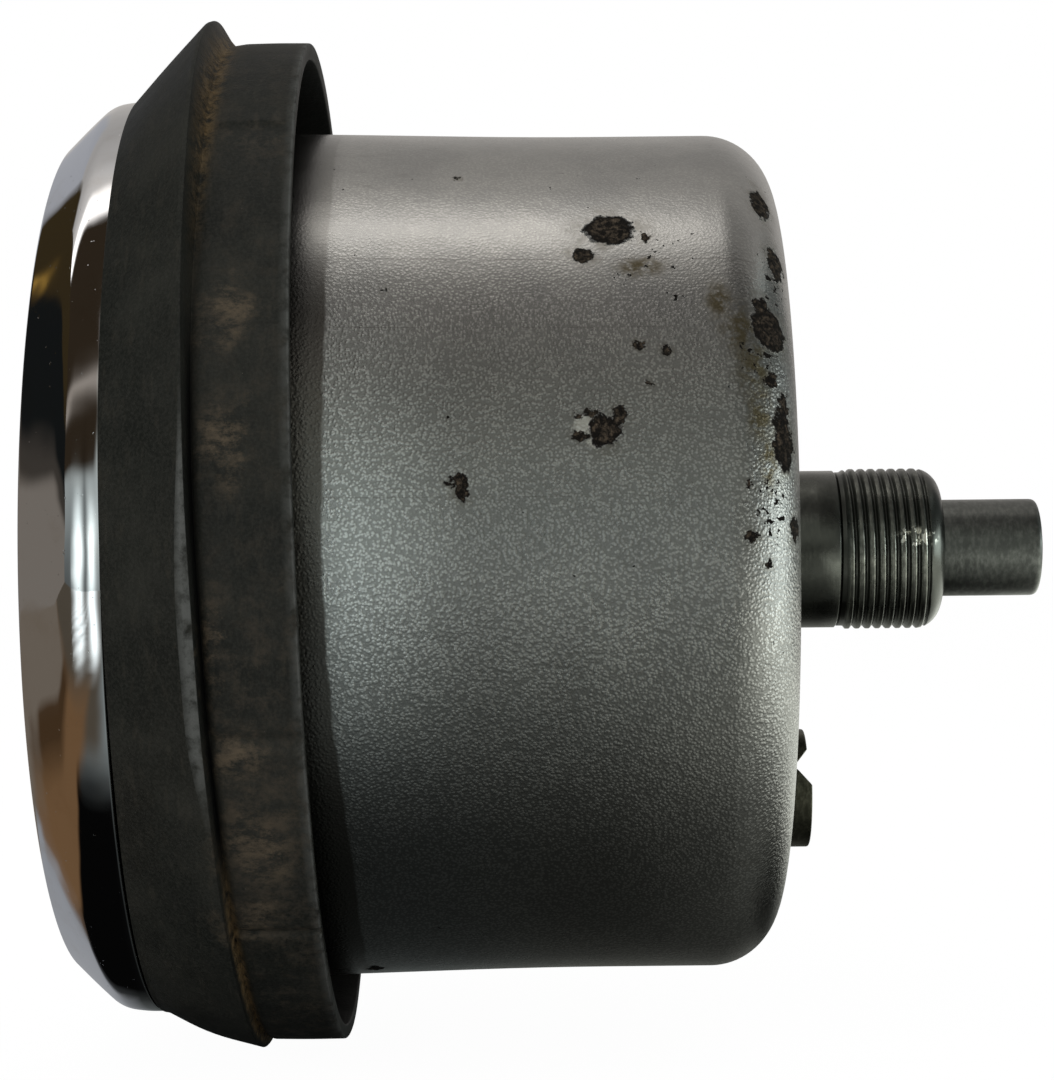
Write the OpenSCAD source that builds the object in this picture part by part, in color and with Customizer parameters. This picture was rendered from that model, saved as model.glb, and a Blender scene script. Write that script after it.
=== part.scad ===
// Mechanical tachometer in a drawn steel can, with a chrome bezel and a rubber panel ring.
// Millimetres. The instrument's axis is Y: the dial looks towards -Y and the drive leaves
// towards +Y, with +Z up. The origin is on the axis, in the plane of the panel seat, which is
// the rear of the rubber lip. Clock angles run clockwise from the top, seen from the dial.

/* [Case] */
// Outside diameter of the can's straight barrel
can_d = 114.3; // [108:0.1:124]
// Sheet thickness of the can
can_wall = 0.8; // [0.6:0.1:1.2]
// Distance from the panel seat to the can's back
back_y = 72; // [68:0.5:90]
// Outer radius of the can's rear corner
corner_r = 9; // [4:0.5:12]
// How much the barrel's radius grows towards its mouth
mouth_flare = 0.8; // [0:0.1:1.5]
// Length of the straight stretch of barrel in front of the rear corner
straight_l = 23; // [18:1:28]
// Length of the flared stretch in front of that
flare_l = 32; // [20:1:36]

/* [Bezel and glass] */
// How far the bezel stands out from the barrel, in radius
bezel_overhang = 5.35; // [4.5:0.05:7]
// Thickness of the bezel's sheet
bezel_wall = 0.8; // [0.6:0.1:1]
// Distance from the panel seat forward to the bezel's crest
bezel_proud = 22.2; // [21.5:0.1:28]
// Length of the bezel along the axis
bezel_l = 11; // [10.5:0.1:12]
// Length along the axis of the bezel's sloping front facet
facet_l = 5.7; // [5:0.1:6]
// How far the facet draws in, in radius
facet_in = 5.3; // [4.5:0.1:5.5]
// How far the window's edge lies inside the barrel, in radius
window_inset = 5.6; // [5:0.1:7]
// Thickness of the glass
glass_t = 2.5; // [2:0.1:3]
// Thickness of the rubber gasket in front of the glass
gasket_t = 0.8; // [0.5:0.1:1.2]

/* [Dial and pointer] */
// Distance from the panel seat forward to the dial's face
dial_proud = 8.5; // [7:0.1:9]
// Thickness of the dial plate
dial_t = 1; // [0.6:0.1:1.5]
// Distance from the pivot to the pointer's tip
pointer_l = 44; // [25:0.5:46]
// Distance from the pivot to the end of the pointer's tail
tail_l = 12.5; // [8:0.5:13.5]
// Thickness of the pointer
pointer_t = 0.6; // [0.4:0.1:1]
// Gap between the dial's face and the pointer's back
pointer_lift = 2; // [1.6:0.1:2.5]
// Diameter of the pointer's domed cap
cap_d = 11; // [9:0.5:14]
// Clock angle at which the pointer rests, in degrees
rest_clock = -135; // [-150:1:-120]
// Distance from the pivot to the zero stop pin
stop_dist = 16; // [15:0.5:18]

/* [Movement] */
// Diameter of the movement's two round plates
plate_d = 48; // [46:0.5:48.5]
// Thickness of each plate
plate_t = 2; // [1.5:0.1:3]
// Length of the pillars between the two plates
pillar_l = 54; // [52:0.5:58]
// Diameter of each pillar
pillar_d = 5; // [4:0.1:5.5]
// Distance from each pillar's axis to the plates' edge
pillar_edge = 3.5; // [3.2:0.1:4]
// Diameter of the magnet
magnet_d = 23.6; // [18:0.2:24]
// Length of the magnet
magnet_l = 10; // [6:0.5:12]
// Air gap on each side of the drag cup's wall
air_gap = 1; // [0.6:0.1:1.2]
// Wall thickness of the drag cup
cup_wall = 0.6; // [0.4:0.1:0.8]
// Wall thickness of the flux cup
flux_wall = 1.4; // [1:0.1:1.6]
// Diameter of the pointer's staff
staff_d = 1.6; // [1.2:0.1:2]
// Turns of the hairspring
spring_turns = 4.5; // [3:0.5:6]

/* [Drive] */
// Diameter of the boss's plain shoulder
shoulder_d = 21.8; // [20:0.1:21.9]
// Length of the shoulder behind the can
shoulder_l = 10; // [6:0.5:16]
// Crest diameter of the union thread, 7/8 inch
thread_d = 22.22; // [22:0.01:24]
// Thread pitch, 18 to the inch
pitch = 1.411; // [1:0.001:2]
// Radius of the rounding at the boss's rear end
end_round = 3.4; // [1:0.1:4]
// Length from the first crest to the boss's rear end
thread_l = 13.7; // [10:0.1:20]
// Diameter of the spigot behind the thread
spigot_d = 13.4; // [12.8:0.1:15]
// Length of the spigot behind the thread
spigot_l = 13.6; // [11:0.1:20]
// Wall thickness of the spigot's tube
spigot_wall = 1.5; // [1.2:0.1:1.7]
// Diameter of the spindle's rear journal
journal_d = 8; // [7:0.1:8.2]
// Diameter of the spindle's long front part
spindle_d = 6; // [5:0.1:6.4]
// Width across the flats of the square socket for the cable's end
socket_w = 4; // [3:0.1:4.4]
// Depth of the square socket
socket_l = 12; // [8:0.5:14]

/* [Lamp holder] */
// Gap between the movement's plates and the lamp holder's tube, seen along the axis
lamp_gap = 1.05; // [0.95:0.05:4]
// Outside diameter of the lamp holder's tube
lamp_d = 16.3; // [12:0.1:16.5]
// Wall thickness of the lamp holder's tube
lamp_wall = 0.9; // [0.6:0.1:1.5]
// How far the lamp holder stands behind the can
lamp_proud = 5.2; // [4:0.1:12]
// How far the lamp holder reaches into the can
lamp_inside = 9; // [6:0.5:14]
// Height of the V notch above the lamp holder's axis
notch_rise = 3.4; // [-3:0.1:4]
// Depth of the V notch from the tube's rear end
notch_l = 2.1; // [1:0.1:3.5]
// Angle between the V notch's sides, in degrees
notch_angle = 96; // [80:1:110]

/* [Rubber panel ring] */
// How far the ring's skirt stands out from the barrel, in radius
skirt_stand = 10.85; // [9:0.05:14]
// How far the skirt sits off centre, upwards
skirt_lift = 1.7; // [0:0.1:2]
// Thickness of the skirt
skirt_t = 1.8; // [1.4:0.1:2.2]
// Distance from the panel seat to the skirt's rear edge
skirt_end = 11.8; // [9:0.1:16]
// How far the skirt's rear edge leans, forward at the top
skirt_tilt = 1.8; // [0:0.1:2.4]
// How far the lip's crest stands out from the barrel, in radius
lip_stand = 13.25; // [12.6:0.05:17]
// How far the lip sits off centre, upwards
lip_lift = 2.9; // [1.5:0.1:3]
// How far the lip leans, forward at the top
lip_tilt = 2.7; // [0:0.1:3]
// How far the ring's front edge leans, forward at the top
tip_tilt = 1.45; // [0:0.05:1.6]
// Thickness of the collar that grips the can
collar_t = 2.2; // [1.5:0.1:3]
// Distance from the panel seat to the collar's rear edge
collar_end = 3; // [2:0.1:5]
// Height of the block along the top of the skirt
block_h = 0.5; // [0:0.1:0.8]

/* [Fits] */
// Radial clearance of a running shaft in its bearing
run_fit = 0.04; // [0.02:0.01:0.08]
// Gap between parts that are seated but not pressed together
seat_gap = 0.3; // [0.2:0.05:0.4]
// Radial clearance of a screw or rivet in its hole
screw_fit = 0.05; // [0.02:0.01:0.1]

/* [Hidden] */

// Facets round a turned piece and round a small bar
fine = 120;
small = 40;
// How far cuts run past the faces that they open
over = 1;

// Radii of the case and what fits it
can_r = can_d/2;
mouth_r = can_r + mouth_flare;
bezel_r = can_r + bezel_overhang;
window_r = can_r - window_inset;
flare_start = back_y - corner_r - straight_l;
flare_end = flare_start - flare_l;
inner_back = back_y - can_wall;

// Bezel's section: rear crimp, side band, sloping facet, rolled crest and lip
bezel_front = -bezel_proud;
bezel_rear = bezel_front + bezel_l;
crimp_hold = 1;
crimp_r = mouth_r + crimp_hold;
crimp_front = bezel_rear - bezel_wall;
band_l = 2;
band_in = 0.4;
facet_r = bezel_r - band_in;
facet_lean = atan2(facet_in, facet_l);
crest_round = 1.3;
crest_mid_r = facet_r - facet_in - crest_round*cos(facet_lean);
crest_mid_y = bezel_front + crest_round;
facet_rear = crest_mid_y - crest_round*sin(facet_lean) + facet_l;
lip_lean = 39;
lip_drop = 2.8;
lip_rear = bezel_front + lip_drop + bezel_wall;

// Stack behind the bezel's lip, from the gasket to the dial
gasket_in = 1.6;
gasket_inset = 0.2;
glass_seat = 5.4;
glass_r = window_r + glass_seat;
glass_front = lip_rear + gasket_t;
glass_rear = glass_front + glass_t;
mouth_front = crimp_front - can_wall;
flange_r = bezel_r - bezel_wall - seat_gap;
hood_r = facet_r - bezel_wall - seat_gap;
hood_t = 1;
hood_step = 1.2;
hood_inset = 1.2;
dial_face = -dial_proud;
dial_rear = dial_face + dial_t;
dial_r = window_r + 0.4;
dial_hole_gap = 1.2;

// Movement, from the can's back forward
boss_gasket_t = 0.5;
boss_flange_t = 3;
gasket_front = inner_back - boss_gasket_t;
flange_front = gasket_front - boss_flange_t;
rear_plate_y = flange_front - plate_t;
front_plate_rear = rear_plate_y - pillar_l;
front_plate_y = front_plate_rear - plate_t;
pillar_clocks = [0, 120, 240];
pillar_dist = plate_d/2 - pillar_edge;
screw_clocks = [60, 180, 300];
screw_inset = 3.5;
screw_dist = pillar_dist - screw_inset;
flange_edge = 3.4;
boss_flange_r = screw_dist + flange_edge;
pierce_r = 6;
pierce_dist = pillar_dist - 6.5;
rear_hole_gap = 2;
screw_r = 1.5;
screw_head_r = 2.8;
screw_head_l = 1.6;
rivet_r = 1.4;
stud_r = 1.2;
stud_l = 6;
tap_over = 0.5;
post_r = 2.3;
dial_screw_r = 1;
dial_screw_l = 4;
dial_head_r = 1.9;
dial_head_l = 0.9;
slot_w = 0.6;
slot_turn = 30;

// Drive line, from the spigot's end forward
thread_r = thread_d/2;
shoulder_r = shoulder_d/2;
thread_start = back_y + shoulder_l;
boss_end = thread_start + thread_l;
spigot_r = spigot_d/2;
tube_r = spigot_r - spigot_wall;
press_step = 0.6;
press_r = spigot_r - press_step;
tube_seat = 12;
tube_front = boss_end - tube_seat;
spigot_end = boss_end + spigot_l;
spigot_round = 0.9;
journal_r = journal_d/2;
spindle_r = spindle_d/2;
spindle_inset = 1;
spindle_rear = spigot_end - spindle_inset;
bush_l = 10;
bush_inset = 2.5;
front_bush_front = flange_front;
front_bush_rear = front_bush_front + bush_l;
rear_bush_rear = spigot_end - bush_inset;
rear_bush_front = rear_bush_rear - bush_l;
journal_front = front_bush_rear + seat_gap;
bush_step = 0.2;
bush_r = tube_r - bush_step;
washer_t = 0.6;
washer_r = bush_r;
washer_front = front_bush_front - seat_gap - washer_t;
clip_t = 0.8;
clip_front = washer_front - seat_gap - clip_t;
clip_depth = 0.4;
clip_w = 1.6;
clip_r = spindle_r + clip_w;
clip_opening = 3;

// Thread form as shares of the pitch, and the undercut in front of the first crest
crest_share = 0.32;
depth_share = 0.5;
flank_share = 0.3;
least_groove = 0.25;
undercut_l = 0.5;
undercut_lead = 0.2;
// Share of the end's rounding that the thread leaves bare
bare_share = 0.4;

// Lamp holder's tube
lamp_r = lamp_d/2;
lamp_drop = plate_d/2 + lamp_gap + lamp_r;
lamp_end = back_y + lamp_proud;
lamp_flange_t = 0.8;
lamp_flange_w = 0.8;
lamp_bevel = 0.4;
notch_half = notch_l*tan(notch_angle/2);

// Magnet, drag cup and flux cup
flux_web_t = 1.5;
hub_flange_t = 1.5;
magnet_setback = 25.3;
magnet_rear = front_plate_rear + magnet_setback;
magnet_front = magnet_rear - magnet_l;
magnet_r = magnet_d/2;
hub_wall = 2;
hub_r = spindle_r + hub_wall;
hub_flange_in = 3;
hub_flange_r = magnet_r - hub_flange_in;
hub_rear = magnet_rear + hub_flange_t;
flux_rear = hub_rear + flux_web_t;
cup_inner = magnet_r + air_gap;
cup_r = cup_inner + cup_wall;
flux_inner = cup_r + air_gap;
flux_r = flux_inner + flux_wall;
nose_proud = 3;
nose_front = magnet_front - nose_proud;
nose_l = 3.5;
nose_wall = 1.2;
nose_r = spindle_r - nose_wall;
nose_floor = 0.6;
cup_web_gap = 1.9;
cup_web_rear = nose_front - cup_web_gap;
cup_web_front = cup_web_rear - cup_wall;
cup_short = 1;
cup_rear = magnet_rear - cup_short;
flux_over = 0.5;
flux_front = cup_web_front - flux_over;

// Staff, hairspring and pointer
staff_r = staff_d/2;
staff_bore = staff_r + run_fit;
staff_short = 1;
staff_rear = nose_front + nose_l - staff_short;
pointer_rear = dial_face - pointer_lift;
pointer_front = pointer_rear - pointer_t;
staff_proud = 1;
staff_front = pointer_front - staff_proud;
jewel_r = 2.5;
jewel_proud = 0.5;
arm_t = 0.8;
arm_w = 3;
arm_ring_w = 2;
jewel_rear = front_plate_rear + arm_t;
collet_r = 2.2;
collet_l = 2;
collet_slit = 0.3;
spring_h = 1.2;
spring_t = 0.25;
spring_gap = 2.4;
spring_y = jewel_rear + spring_gap;
collet_front = spring_y - (collet_l - spring_h)/2;
spring_steps = 20;
spring_start = collet_r + seat_gap + spring_t/2;
spring_end = 9.5;
stud_pin_r = 0.9;
stud_pin_gap = 0.1;
stud_pin_over = 0.6;
stud_dist = spring_end + spring_t/2 + stud_pin_r + stud_pin_gap;
spring_clock = rest_clock + 90;
cup_hub_r = 2.6;
cup_neck_r = 1.6;
cup_hub_l = 1.5;
cup_hub_front = cup_web_front - cup_hub_l;
cup_neck_l = 1.2;
cup_hub_rear = cup_web_rear + cup_neck_l;
pointer_hub_r = 4.2;
blade_root = 1.7;
blade_tip = 0.5;
tail_end = 2.1;
blade_end = 2;
blade_at_stop = blade_root - (blade_root - blade_tip)*stop_dist/(pointer_l - blade_end);
stop_r = 0.6;
stop_clock = rest_clock - asin((blade_at_stop + stop_r + seat_gap/2)/stop_dist);
stop_over = 0.8;
stop_front = pointer_front - stop_over;
cap_h = 2.2;
cap_brim = 0.8;

// Rubber panel ring
tip_r = bezel_r + seat_gap;
grip_r = mouth_r + seat_gap;
tip_mean = bezel_rear - seat_gap;
lip_mean = -0.5;
web_y = 0.5;
skirt_r = can_r + skirt_stand;
lip_r = can_r + lip_stand;
block_half = 35;
block_ramp = 5;
ring_steps = 72;

// Where the ring's front cone bends, as a share of its length, and how high it stands there
cone_bend = 0.45;
cone_rise = 0.47;
cone_belly = 0.14;
// Rounded edge and rear land of the lip
lip_nose_l = 0.9;
lip_nose_drop = 0.5;
lip_crest_l = 0.3;
land_l = 0.5;
land_drop = 0.15;
// Concave drop from the lip to the skirt, longest at the top, and the groove at its foot
drop_least = 1;
drop_more = 2.8;
drop_bend = 0.45;
drop_rise = 0.3;
drop_foot = 0.9;
drop_runout = 1;
groove_depth = 0.25;
edge_break = 0.3;
web_fillet = 0.2;

// Unit vector to the right of the way from point p to point q
function right_of(p, q) = let (d = q - p) [d[1], -d[0]]/norm(d);

// Closed outline of bent sheet: the points of its outer side, and the same moved in by thickness t
function sheet(points, t) =
    let (last = len(points) - 1)
    concat(points, [for (i = [last:-1:0])
        let (a = right_of(points[max(i - 1, 0)], points[max(i, 1)]),
             b = right_of(points[min(i, last - 1)], points[min(i + 1, last)]))
        points[i] + t*(a + b)/(1 + a*b)]);

// Points [r, y] of an arc about (r, y), from angle a0 to a1
function arc(r, y, rad, a0, a1, n = 8) =
    [for (i = [0:n]) let (a = a0 + (a1 - a0)*i/n) [r + rad*cos(a), y + rad*sin(a)]];

// A solid turned about the instrument's axis from points [r, y]
module turned(points) {
    rotate([-90, 0, 0]) rotate_extrude($fn = fine) polygon(points);
}

// A round bar along Y between two stations, at a clock angle and a distance from the axis
module bar(r, y0, y1, clock = 0, dist = 0) {
    translate([dist*sin(clock), y0, dist*cos(clock)]) rotate([-90, 0, 0])
        cylinder(r = r, h = y1 - y0, $fn = small);
}

// A washer or tube about the axis
module tube(r_out, r_in, y0, y1) {
    turned([[r_in, y0], [r_out, y0], [r_out, y1], [r_in, y1]]);
}

// A round disc about the axis
module disc(r, y0, y1) {
    turned([[0, y0], [r, y0], [r, y1], [0, y1]]);
}

// A flat plate of a shape drawn as seen from the dial, between two stations
module plate(y0, y1) {
    translate([0, y1, 0]) rotate([90, 0, 0]) linear_extrude(y1 - y0) children();
}

// A slotted cheese-head screw, seated under its head at the station given as seat.
// The shank runs from there towards +Y when dir is 1, and towards -Y when dir is -1.
module slotted_screw(r, shank_l, head_r, head_l, seat, clock, dist, dir) {
    shank_end = seat + dir*shank_l;
    head_end = seat - dir*head_l;
    difference() {
        union() {
            bar(r, min(seat, shank_end), max(seat, shank_end), clock, dist);
            bar(head_r, min(seat, head_end), max(seat, head_end), clock, dist);
        }
        translate([dist*sin(clock), head_end, dist*cos(clock)]) rotate([0, clock + slot_turn, 0])
            cube([3*head_r, head_l, slot_w], center = true);
    }
}

// Drawn can: a straight barrel, a flared mouth and an outward flange that the bezel holds
module case_can() {
    hole_r = shoulder_r + seat_gap;
    color([0.56, 0.57, 0.58]) difference() {
        turned(sheet(concat(
            [[hole_r, back_y]],
            arc(can_r - corner_r, back_y - corner_r, corner_r, 90, 0, 12),
            [[can_r, flare_start], [mouth_r, flare_end], [mouth_r, crimp_front],
             [flange_r, crimp_front]]), can_wall));
        bar(lamp_r + screw_fit, inner_back - over, back_y + over, 180, lamp_drop);
        for (clock = screw_clocks)
            bar(screw_r + screw_fit, inner_back - over, back_y + over, clock, screw_dist);
    }
}

// Chromed sheet ring: rear crimp, side band, sloping facet, rolled crest and a lip to the window
module bezel() {
    color([0.80, 0.82, 0.85]) turned(sheet(concat(
        [[crimp_r, bezel_rear], [bezel_r, bezel_rear], [bezel_r, bezel_rear - band_l],
         [facet_r, facet_rear]],
        arc(crest_mid_r, crest_mid_y, crest_round, -facet_lean, -90 - lip_lean, 6),
        [[window_r, bezel_front + lip_drop]]), bezel_wall));
}

// Flat glass
module glass() {
    color([0.80, 0.88, 0.90, 0.35]) disc(glass_r, glass_front, glass_rear);
}

// Rubber ring between the bezel's lip and the glass
module glass_gasket() {
    color([0.10, 0.10, 0.10]) tube(glass_r - gasket_in, window_r + gasket_inset, lip_rear, glass_front);
}

// Black ring: a spacer between the glass and the can's flange, and a cone down to the dial's edge
module dial_hood() {
    cone_r = window_r + hood_inset;
    color([0.07, 0.07, 0.07]) turned([[cone_r, glass_rear], [hood_r, glass_rear],
        [hood_r, glass_rear + hood_t], [hood_r - hood_step, glass_rear + hood_t],
        [hood_r - hood_step, mouth_front], [cone_r + hood_t, mouth_front],
        [dial_r, dial_face - seat_gap], [dial_r - hood_t, dial_face - seat_gap]]);
}

// Dial plate with holes for the staff, its three screws and the stop pin
module dial_plate() {
    color([0.05, 0.05, 0.05]) difference() {
        disc(dial_r, dial_face, dial_rear);
        bar(staff_r + dial_hole_gap, dial_face - over, dial_rear + over);
        for (clock = pillar_clocks)
            bar(dial_screw_r + screw_fit, dial_face - over, dial_rear + over, clock, pillar_dist);
        bar(stop_r + screw_fit, dial_face - over, dial_rear + over, stop_clock, stop_dist);
    }
}

// Three small cheese-head screws that hold the dial to its posts
module dial_screws() {
    color([0.60, 0.60, 0.58]) for (clock = pillar_clocks)
        slotted_screw(dial_screw_r, dial_screw_l, dial_head_r, dial_head_l, dial_face,
            clock, pillar_dist, 1);
}

// Hexagon posts from the front plate to the dial, with studs that screw into the pillars
module dial_posts() {
    color([0.78, 0.66, 0.36]) for (clock = pillar_clocks) difference() {
        union() {
            translate([pillar_dist*sin(clock), dial_rear, pillar_dist*cos(clock)])
                rotate([-90, 0, 0]) cylinder(r = post_r, h = front_plate_y - dial_rear, $fn = 6);
            bar(stud_r, front_plate_y, front_plate_rear + stud_l, clock, pillar_dist);
        }
        bar(dial_screw_r + screw_fit, dial_rear - over, dial_face + dial_screw_l + tap_over,
            clock, pillar_dist);
    }
}

// Front movement plate, pierced to lighten it
module front_plate() {
    color([0.76, 0.64, 0.34]) difference() {
        disc(plate_d/2, front_plate_y, front_plate_rear);
        bar(jewel_r + screw_fit, front_plate_y - over, front_plate_rear + over);
        for (clock = pillar_clocks)
            bar(stud_r + screw_fit, front_plate_y - over, front_plate_rear + over, clock, pillar_dist);
        for (clock = screw_clocks)
            bar(pierce_r, front_plate_y - over, front_plate_rear + over, clock, pierce_dist);
    }
}

// Rear movement plate, clamped to the boss by the three case screws
module rear_plate() {
    color([0.76, 0.64, 0.34]) difference() {
        disc(plate_d/2, rear_plate_y, flange_front);
        bar(bush_r + rear_hole_gap, rear_plate_y - over, flange_front + over);
        for (clock = pillar_clocks)
            bar(rivet_r + screw_fit, rear_plate_y - over, flange_front + over, clock, pillar_dist);
        for (clock = screw_clocks)
            bar(screw_r + screw_fit, rear_plate_y - over, flange_front + over, clock, screw_dist);
    }
}

// Pillars riveted in the rear plate and tapped at the front for the dial posts
module pillars() {
    color([0.74, 0.62, 0.33]) for (clock = pillar_clocks) difference() {
        union() {
            bar(pillar_d/2, front_plate_rear, rear_plate_y, clock, pillar_dist);
            bar(rivet_r, rear_plate_y, flange_front, clock, pillar_dist);
        }
        bar(stud_r + screw_fit, front_plate_rear - over, front_plate_rear + stud_l + tap_over,
            clock, pillar_dist);
    }
}

// Bearing of the staff, set in the front plate
module front_jewel() {
    color([0.62, 0.16, 0.20]) tube(jewel_r, staff_bore, front_plate_y - jewel_proud, jewel_rear);
}

// Lever round the front bearing that carries the hairspring's stud and sets the zero
module regulator_arm() {
    color([0.58, 0.60, 0.63]) plate(front_plate_rear, jewel_rear) difference() {
        union() {
            circle(jewel_r + arm_ring_w, $fn = small);
            rotate(-spring_clock) translate([-arm_w/2, 0]) square([arm_w, stud_dist]);
            rotate(-spring_clock) translate([0, stud_dist]) circle(arm_w/2, $fn = small);
            rotate(180 - spring_clock) translate([-arm_w/4, 0]) square([arm_w/2, stud_dist]);
        }
        circle(jewel_r + screw_fit, $fn = small);
    }
}

// Post on the regulator arm that holds the hairspring's outer end
module hairspring_stud() {
    color([0.70, 0.58, 0.30])
        bar(stud_pin_r, jewel_rear, spring_y + spring_h + stud_pin_over, spring_clock, stud_dist);
}

// Flat spiral hairspring, which returns the pointer to its stop
module hairspring() {
    steps = round(spring_turns*spring_steps);
    total = 360*spring_turns;
    last = 90 - spring_clock;
    function spiral(i, side) =
        let (r = spring_start + (spring_end - spring_start)*i/steps + side*spring_t/2,
             a = last - total + total*i/steps)
        [r*cos(a), r*sin(a)];
    color([0.45, 0.50, 0.62]) plate(spring_y, spring_y + spring_h) polygon(concat(
        [for (i = [0:steps]) spiral(i, 1)], [for (i = [steps:-1:0]) spiral(i, -1)]));
}

// Pin on the dial that the pointer rests against at zero
module stop_pin() {
    color([0.55, 0.55, 0.56]) bar(stop_r, stop_front, dial_rear, stop_clock, stop_dist);
}

// Steel boss: an inner flange, a plain shoulder and the union thread's crests
module drive_boss() {
    crest = pitch*crest_share;
    flank = pitch*flank_share;
    root_r = thread_r - pitch*depth_share;
    round_y = boss_end - end_round;
    last = floor((thread_l - end_round*bare_share)/pitch) - 1;
    function crest_at(y) =
        y < round_y ? thread_r : thread_r - end_round + sqrt(pow(end_round, 2) - pow(y - round_y, 2));
    function root_at(y) = min(root_r, crest_at(y) - least_groove);
    crests = [for (i = [0:last]) let (y = thread_start + i*pitch) each
        [[crest_at(y), y], [crest_at(y + crest), y + crest],
         [root_at(y + crest + flank), y + crest + flank],
         [root_at(y + pitch - flank), y + pitch - flank]]];
    end_start = acos((thread_start + (last + 1)*pitch - round_y)/end_round);
    color([0.20, 0.21, 0.22]) difference() {
        turned(concat(
            [[bush_r, flange_front], [boss_flange_r, flange_front], [boss_flange_r, gasket_front],
             [shoulder_r, gasket_front], [shoulder_r, thread_start - undercut_l - undercut_lead],
             [root_r, thread_start - undercut_l]],
            crests,
            arc(thread_r - end_round, round_y, end_round, 90 - end_start, 90, 4),
            [[press_r, boss_end], [press_r, tube_front], [bush_r, tube_front]]));
        for (clock = screw_clocks)
            bar(screw_r + screw_fit, flange_front - over, gasket_front + over, clock, screw_dist);
    }
}

// Fibre washer between the boss's flange and the can's back
module boss_gasket() {
    color([0.35, 0.17, 0.12]) difference() {
        tube(boss_flange_r, shoulder_r + seat_gap, gasket_front, inner_back);
        for (clock = screw_clocks)
            bar(screw_r + screw_fit, gasket_front - over, inner_back + over, clock, screw_dist);
    }
}

// Three screws through the can's back into the movement
module case_screws() {
    color([0.42, 0.42, 0.42]) for (clock = screw_clocks)
        slotted_screw(screw_r, back_y - rear_plate_y, screw_head_r, screw_head_l, back_y,
            clock, screw_dist, -1);
}

// Bronze bearing of the spindle in the boss
module front_bush() {
    color([0.70, 0.50, 0.28]) tube(bush_r, spindle_r + run_fit, front_bush_front, front_bush_rear);
}

// Steel tube pressed into the boss up to its step, which guides the cable's ferrule
module spigot_tube() {
    color([0.30, 0.31, 0.32]) turned(concat(
        [[tube_r, tube_front], [press_r, tube_front], [press_r, boss_end], [spigot_r, boss_end]],
        arc(spigot_r - spigot_round, spigot_end - spigot_round, spigot_round, 0, 90, 6),
        [[tube_r, spigot_end]]));
}

// Bronze bearing of the spindle in the spigot
module rear_bush() {
    color([0.70, 0.50, 0.28]) tube(tube_r, journal_r + run_fit, rear_bush_front, rear_bush_rear);
}

// Washer that takes the spindle's end thrust
module thrust_washer() {
    color([0.60, 0.60, 0.60]) tube(washer_r, spindle_r + run_fit, washer_front, washer_front + washer_t);
}

// Short tube for a push-in lamp, with a V notch across its rear end
module lamp_ferrule() {
    inner_r = lamp_r - lamp_wall;
    color([0.20, 0.19, 0.15]) difference() {
        translate([0, 0, -lamp_drop]) turned([[inner_r, inner_back - lamp_inside],
            [lamp_r, inner_back - lamp_inside], [lamp_r, inner_back - lamp_flange_t],
            [lamp_r + lamp_flange_w, inner_back - lamp_flange_t],
            [lamp_r + lamp_flange_w, inner_back], [lamp_r, inner_back],
            [lamp_r, lamp_end - lamp_bevel], [lamp_r - lamp_bevel, lamp_end], [inner_r, lamp_end]]);
        translate([-lamp_d, lamp_end, notch_rise - lamp_drop]) rotate([90, 0, 90])
            linear_extrude(2*lamp_d) polygon([[-notch_l, 0], [0, notch_half], [over, notch_half],
                [over, -notch_half], [0, -notch_half]]);
    }
}

// One section [y, r] through the rubber ring at a clock angle
function ring_section(a) =
    let (up = cos(a),
         tip_y = tip_mean - tip_tilt*up,
         lip_y = lip_mean - lip_tilt*up,
         crest = lip_r + lip_lift*up,
         side = abs(a > 180 ? a - 360 : a),
         block = block_h*max(0, min(1, (block_half + block_ramp - side)/block_ramp)),
         outer = skirt_r + skirt_lift*up + block,
         inner = skirt_r + skirt_lift*up - skirt_t,
         end_y = skirt_end - skirt_tilt*up,
         drop_l = drop_least + drop_more*pow(max(0, up), 2),
         drop_y = lip_y + land_l,
         rise = cone_rise + cone_belly*max(0, -up),
         collar_r = grip_r + collar_t)
    [[tip_y, tip_r],
     [tip_y + cone_bend*(lip_y - tip_y), tip_r + rise*(crest - tip_r)],
     [lip_y - lip_nose_l, crest - lip_nose_drop],
     [lip_y - lip_crest_l, crest],
     [drop_y, crest - land_drop],
     [drop_y + drop_bend*drop_l, outer + drop_rise*(crest - outer)],
     [drop_y + drop_foot*drop_l, outer - groove_depth*(1 - up)],
     [drop_y + drop_runout + drop_l, outer],
     [end_y - edge_break, outer],
     [end_y, outer - edge_break],
     [end_y, inner],
     [web_y, inner - web_fillet],
     [web_y, collar_r],
     [collar_end, collar_r - edge_break],
     [collar_end, grip_r],
     [bezel_rear + seat_gap, grip_r],
     [bezel_rear + seat_gap, tip_r - seat_gap/2]];

// Rubber ring that seats the instrument in a panel: front cone, lip and hollow skirt
module panel_ring() {
    sections = [for (i = [0:ring_steps - 1]) ring_section(360*i/ring_steps)];
    count = len(sections[0]);
    points = [for (i = [0:ring_steps - 1]) let (a = 360*i/ring_steps)
        for (p = sections[i]) [p[1]*sin(a), p[0], p[1]*cos(a)]];
    faces = [for (i = [0:ring_steps - 1], j = [0:count - 1])
        let (a = i*count + j,
             b = i*count + (j + 1) % count,
             c = ((i + 1) % ring_steps)*count + j,
             d = ((i + 1) % ring_steps)*count + (j + 1) % count)
        each [[a, b, c], [b, d, c]]];
    color([0.13, 0.13, 0.13]) polyhedron(points, faces);
}

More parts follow.
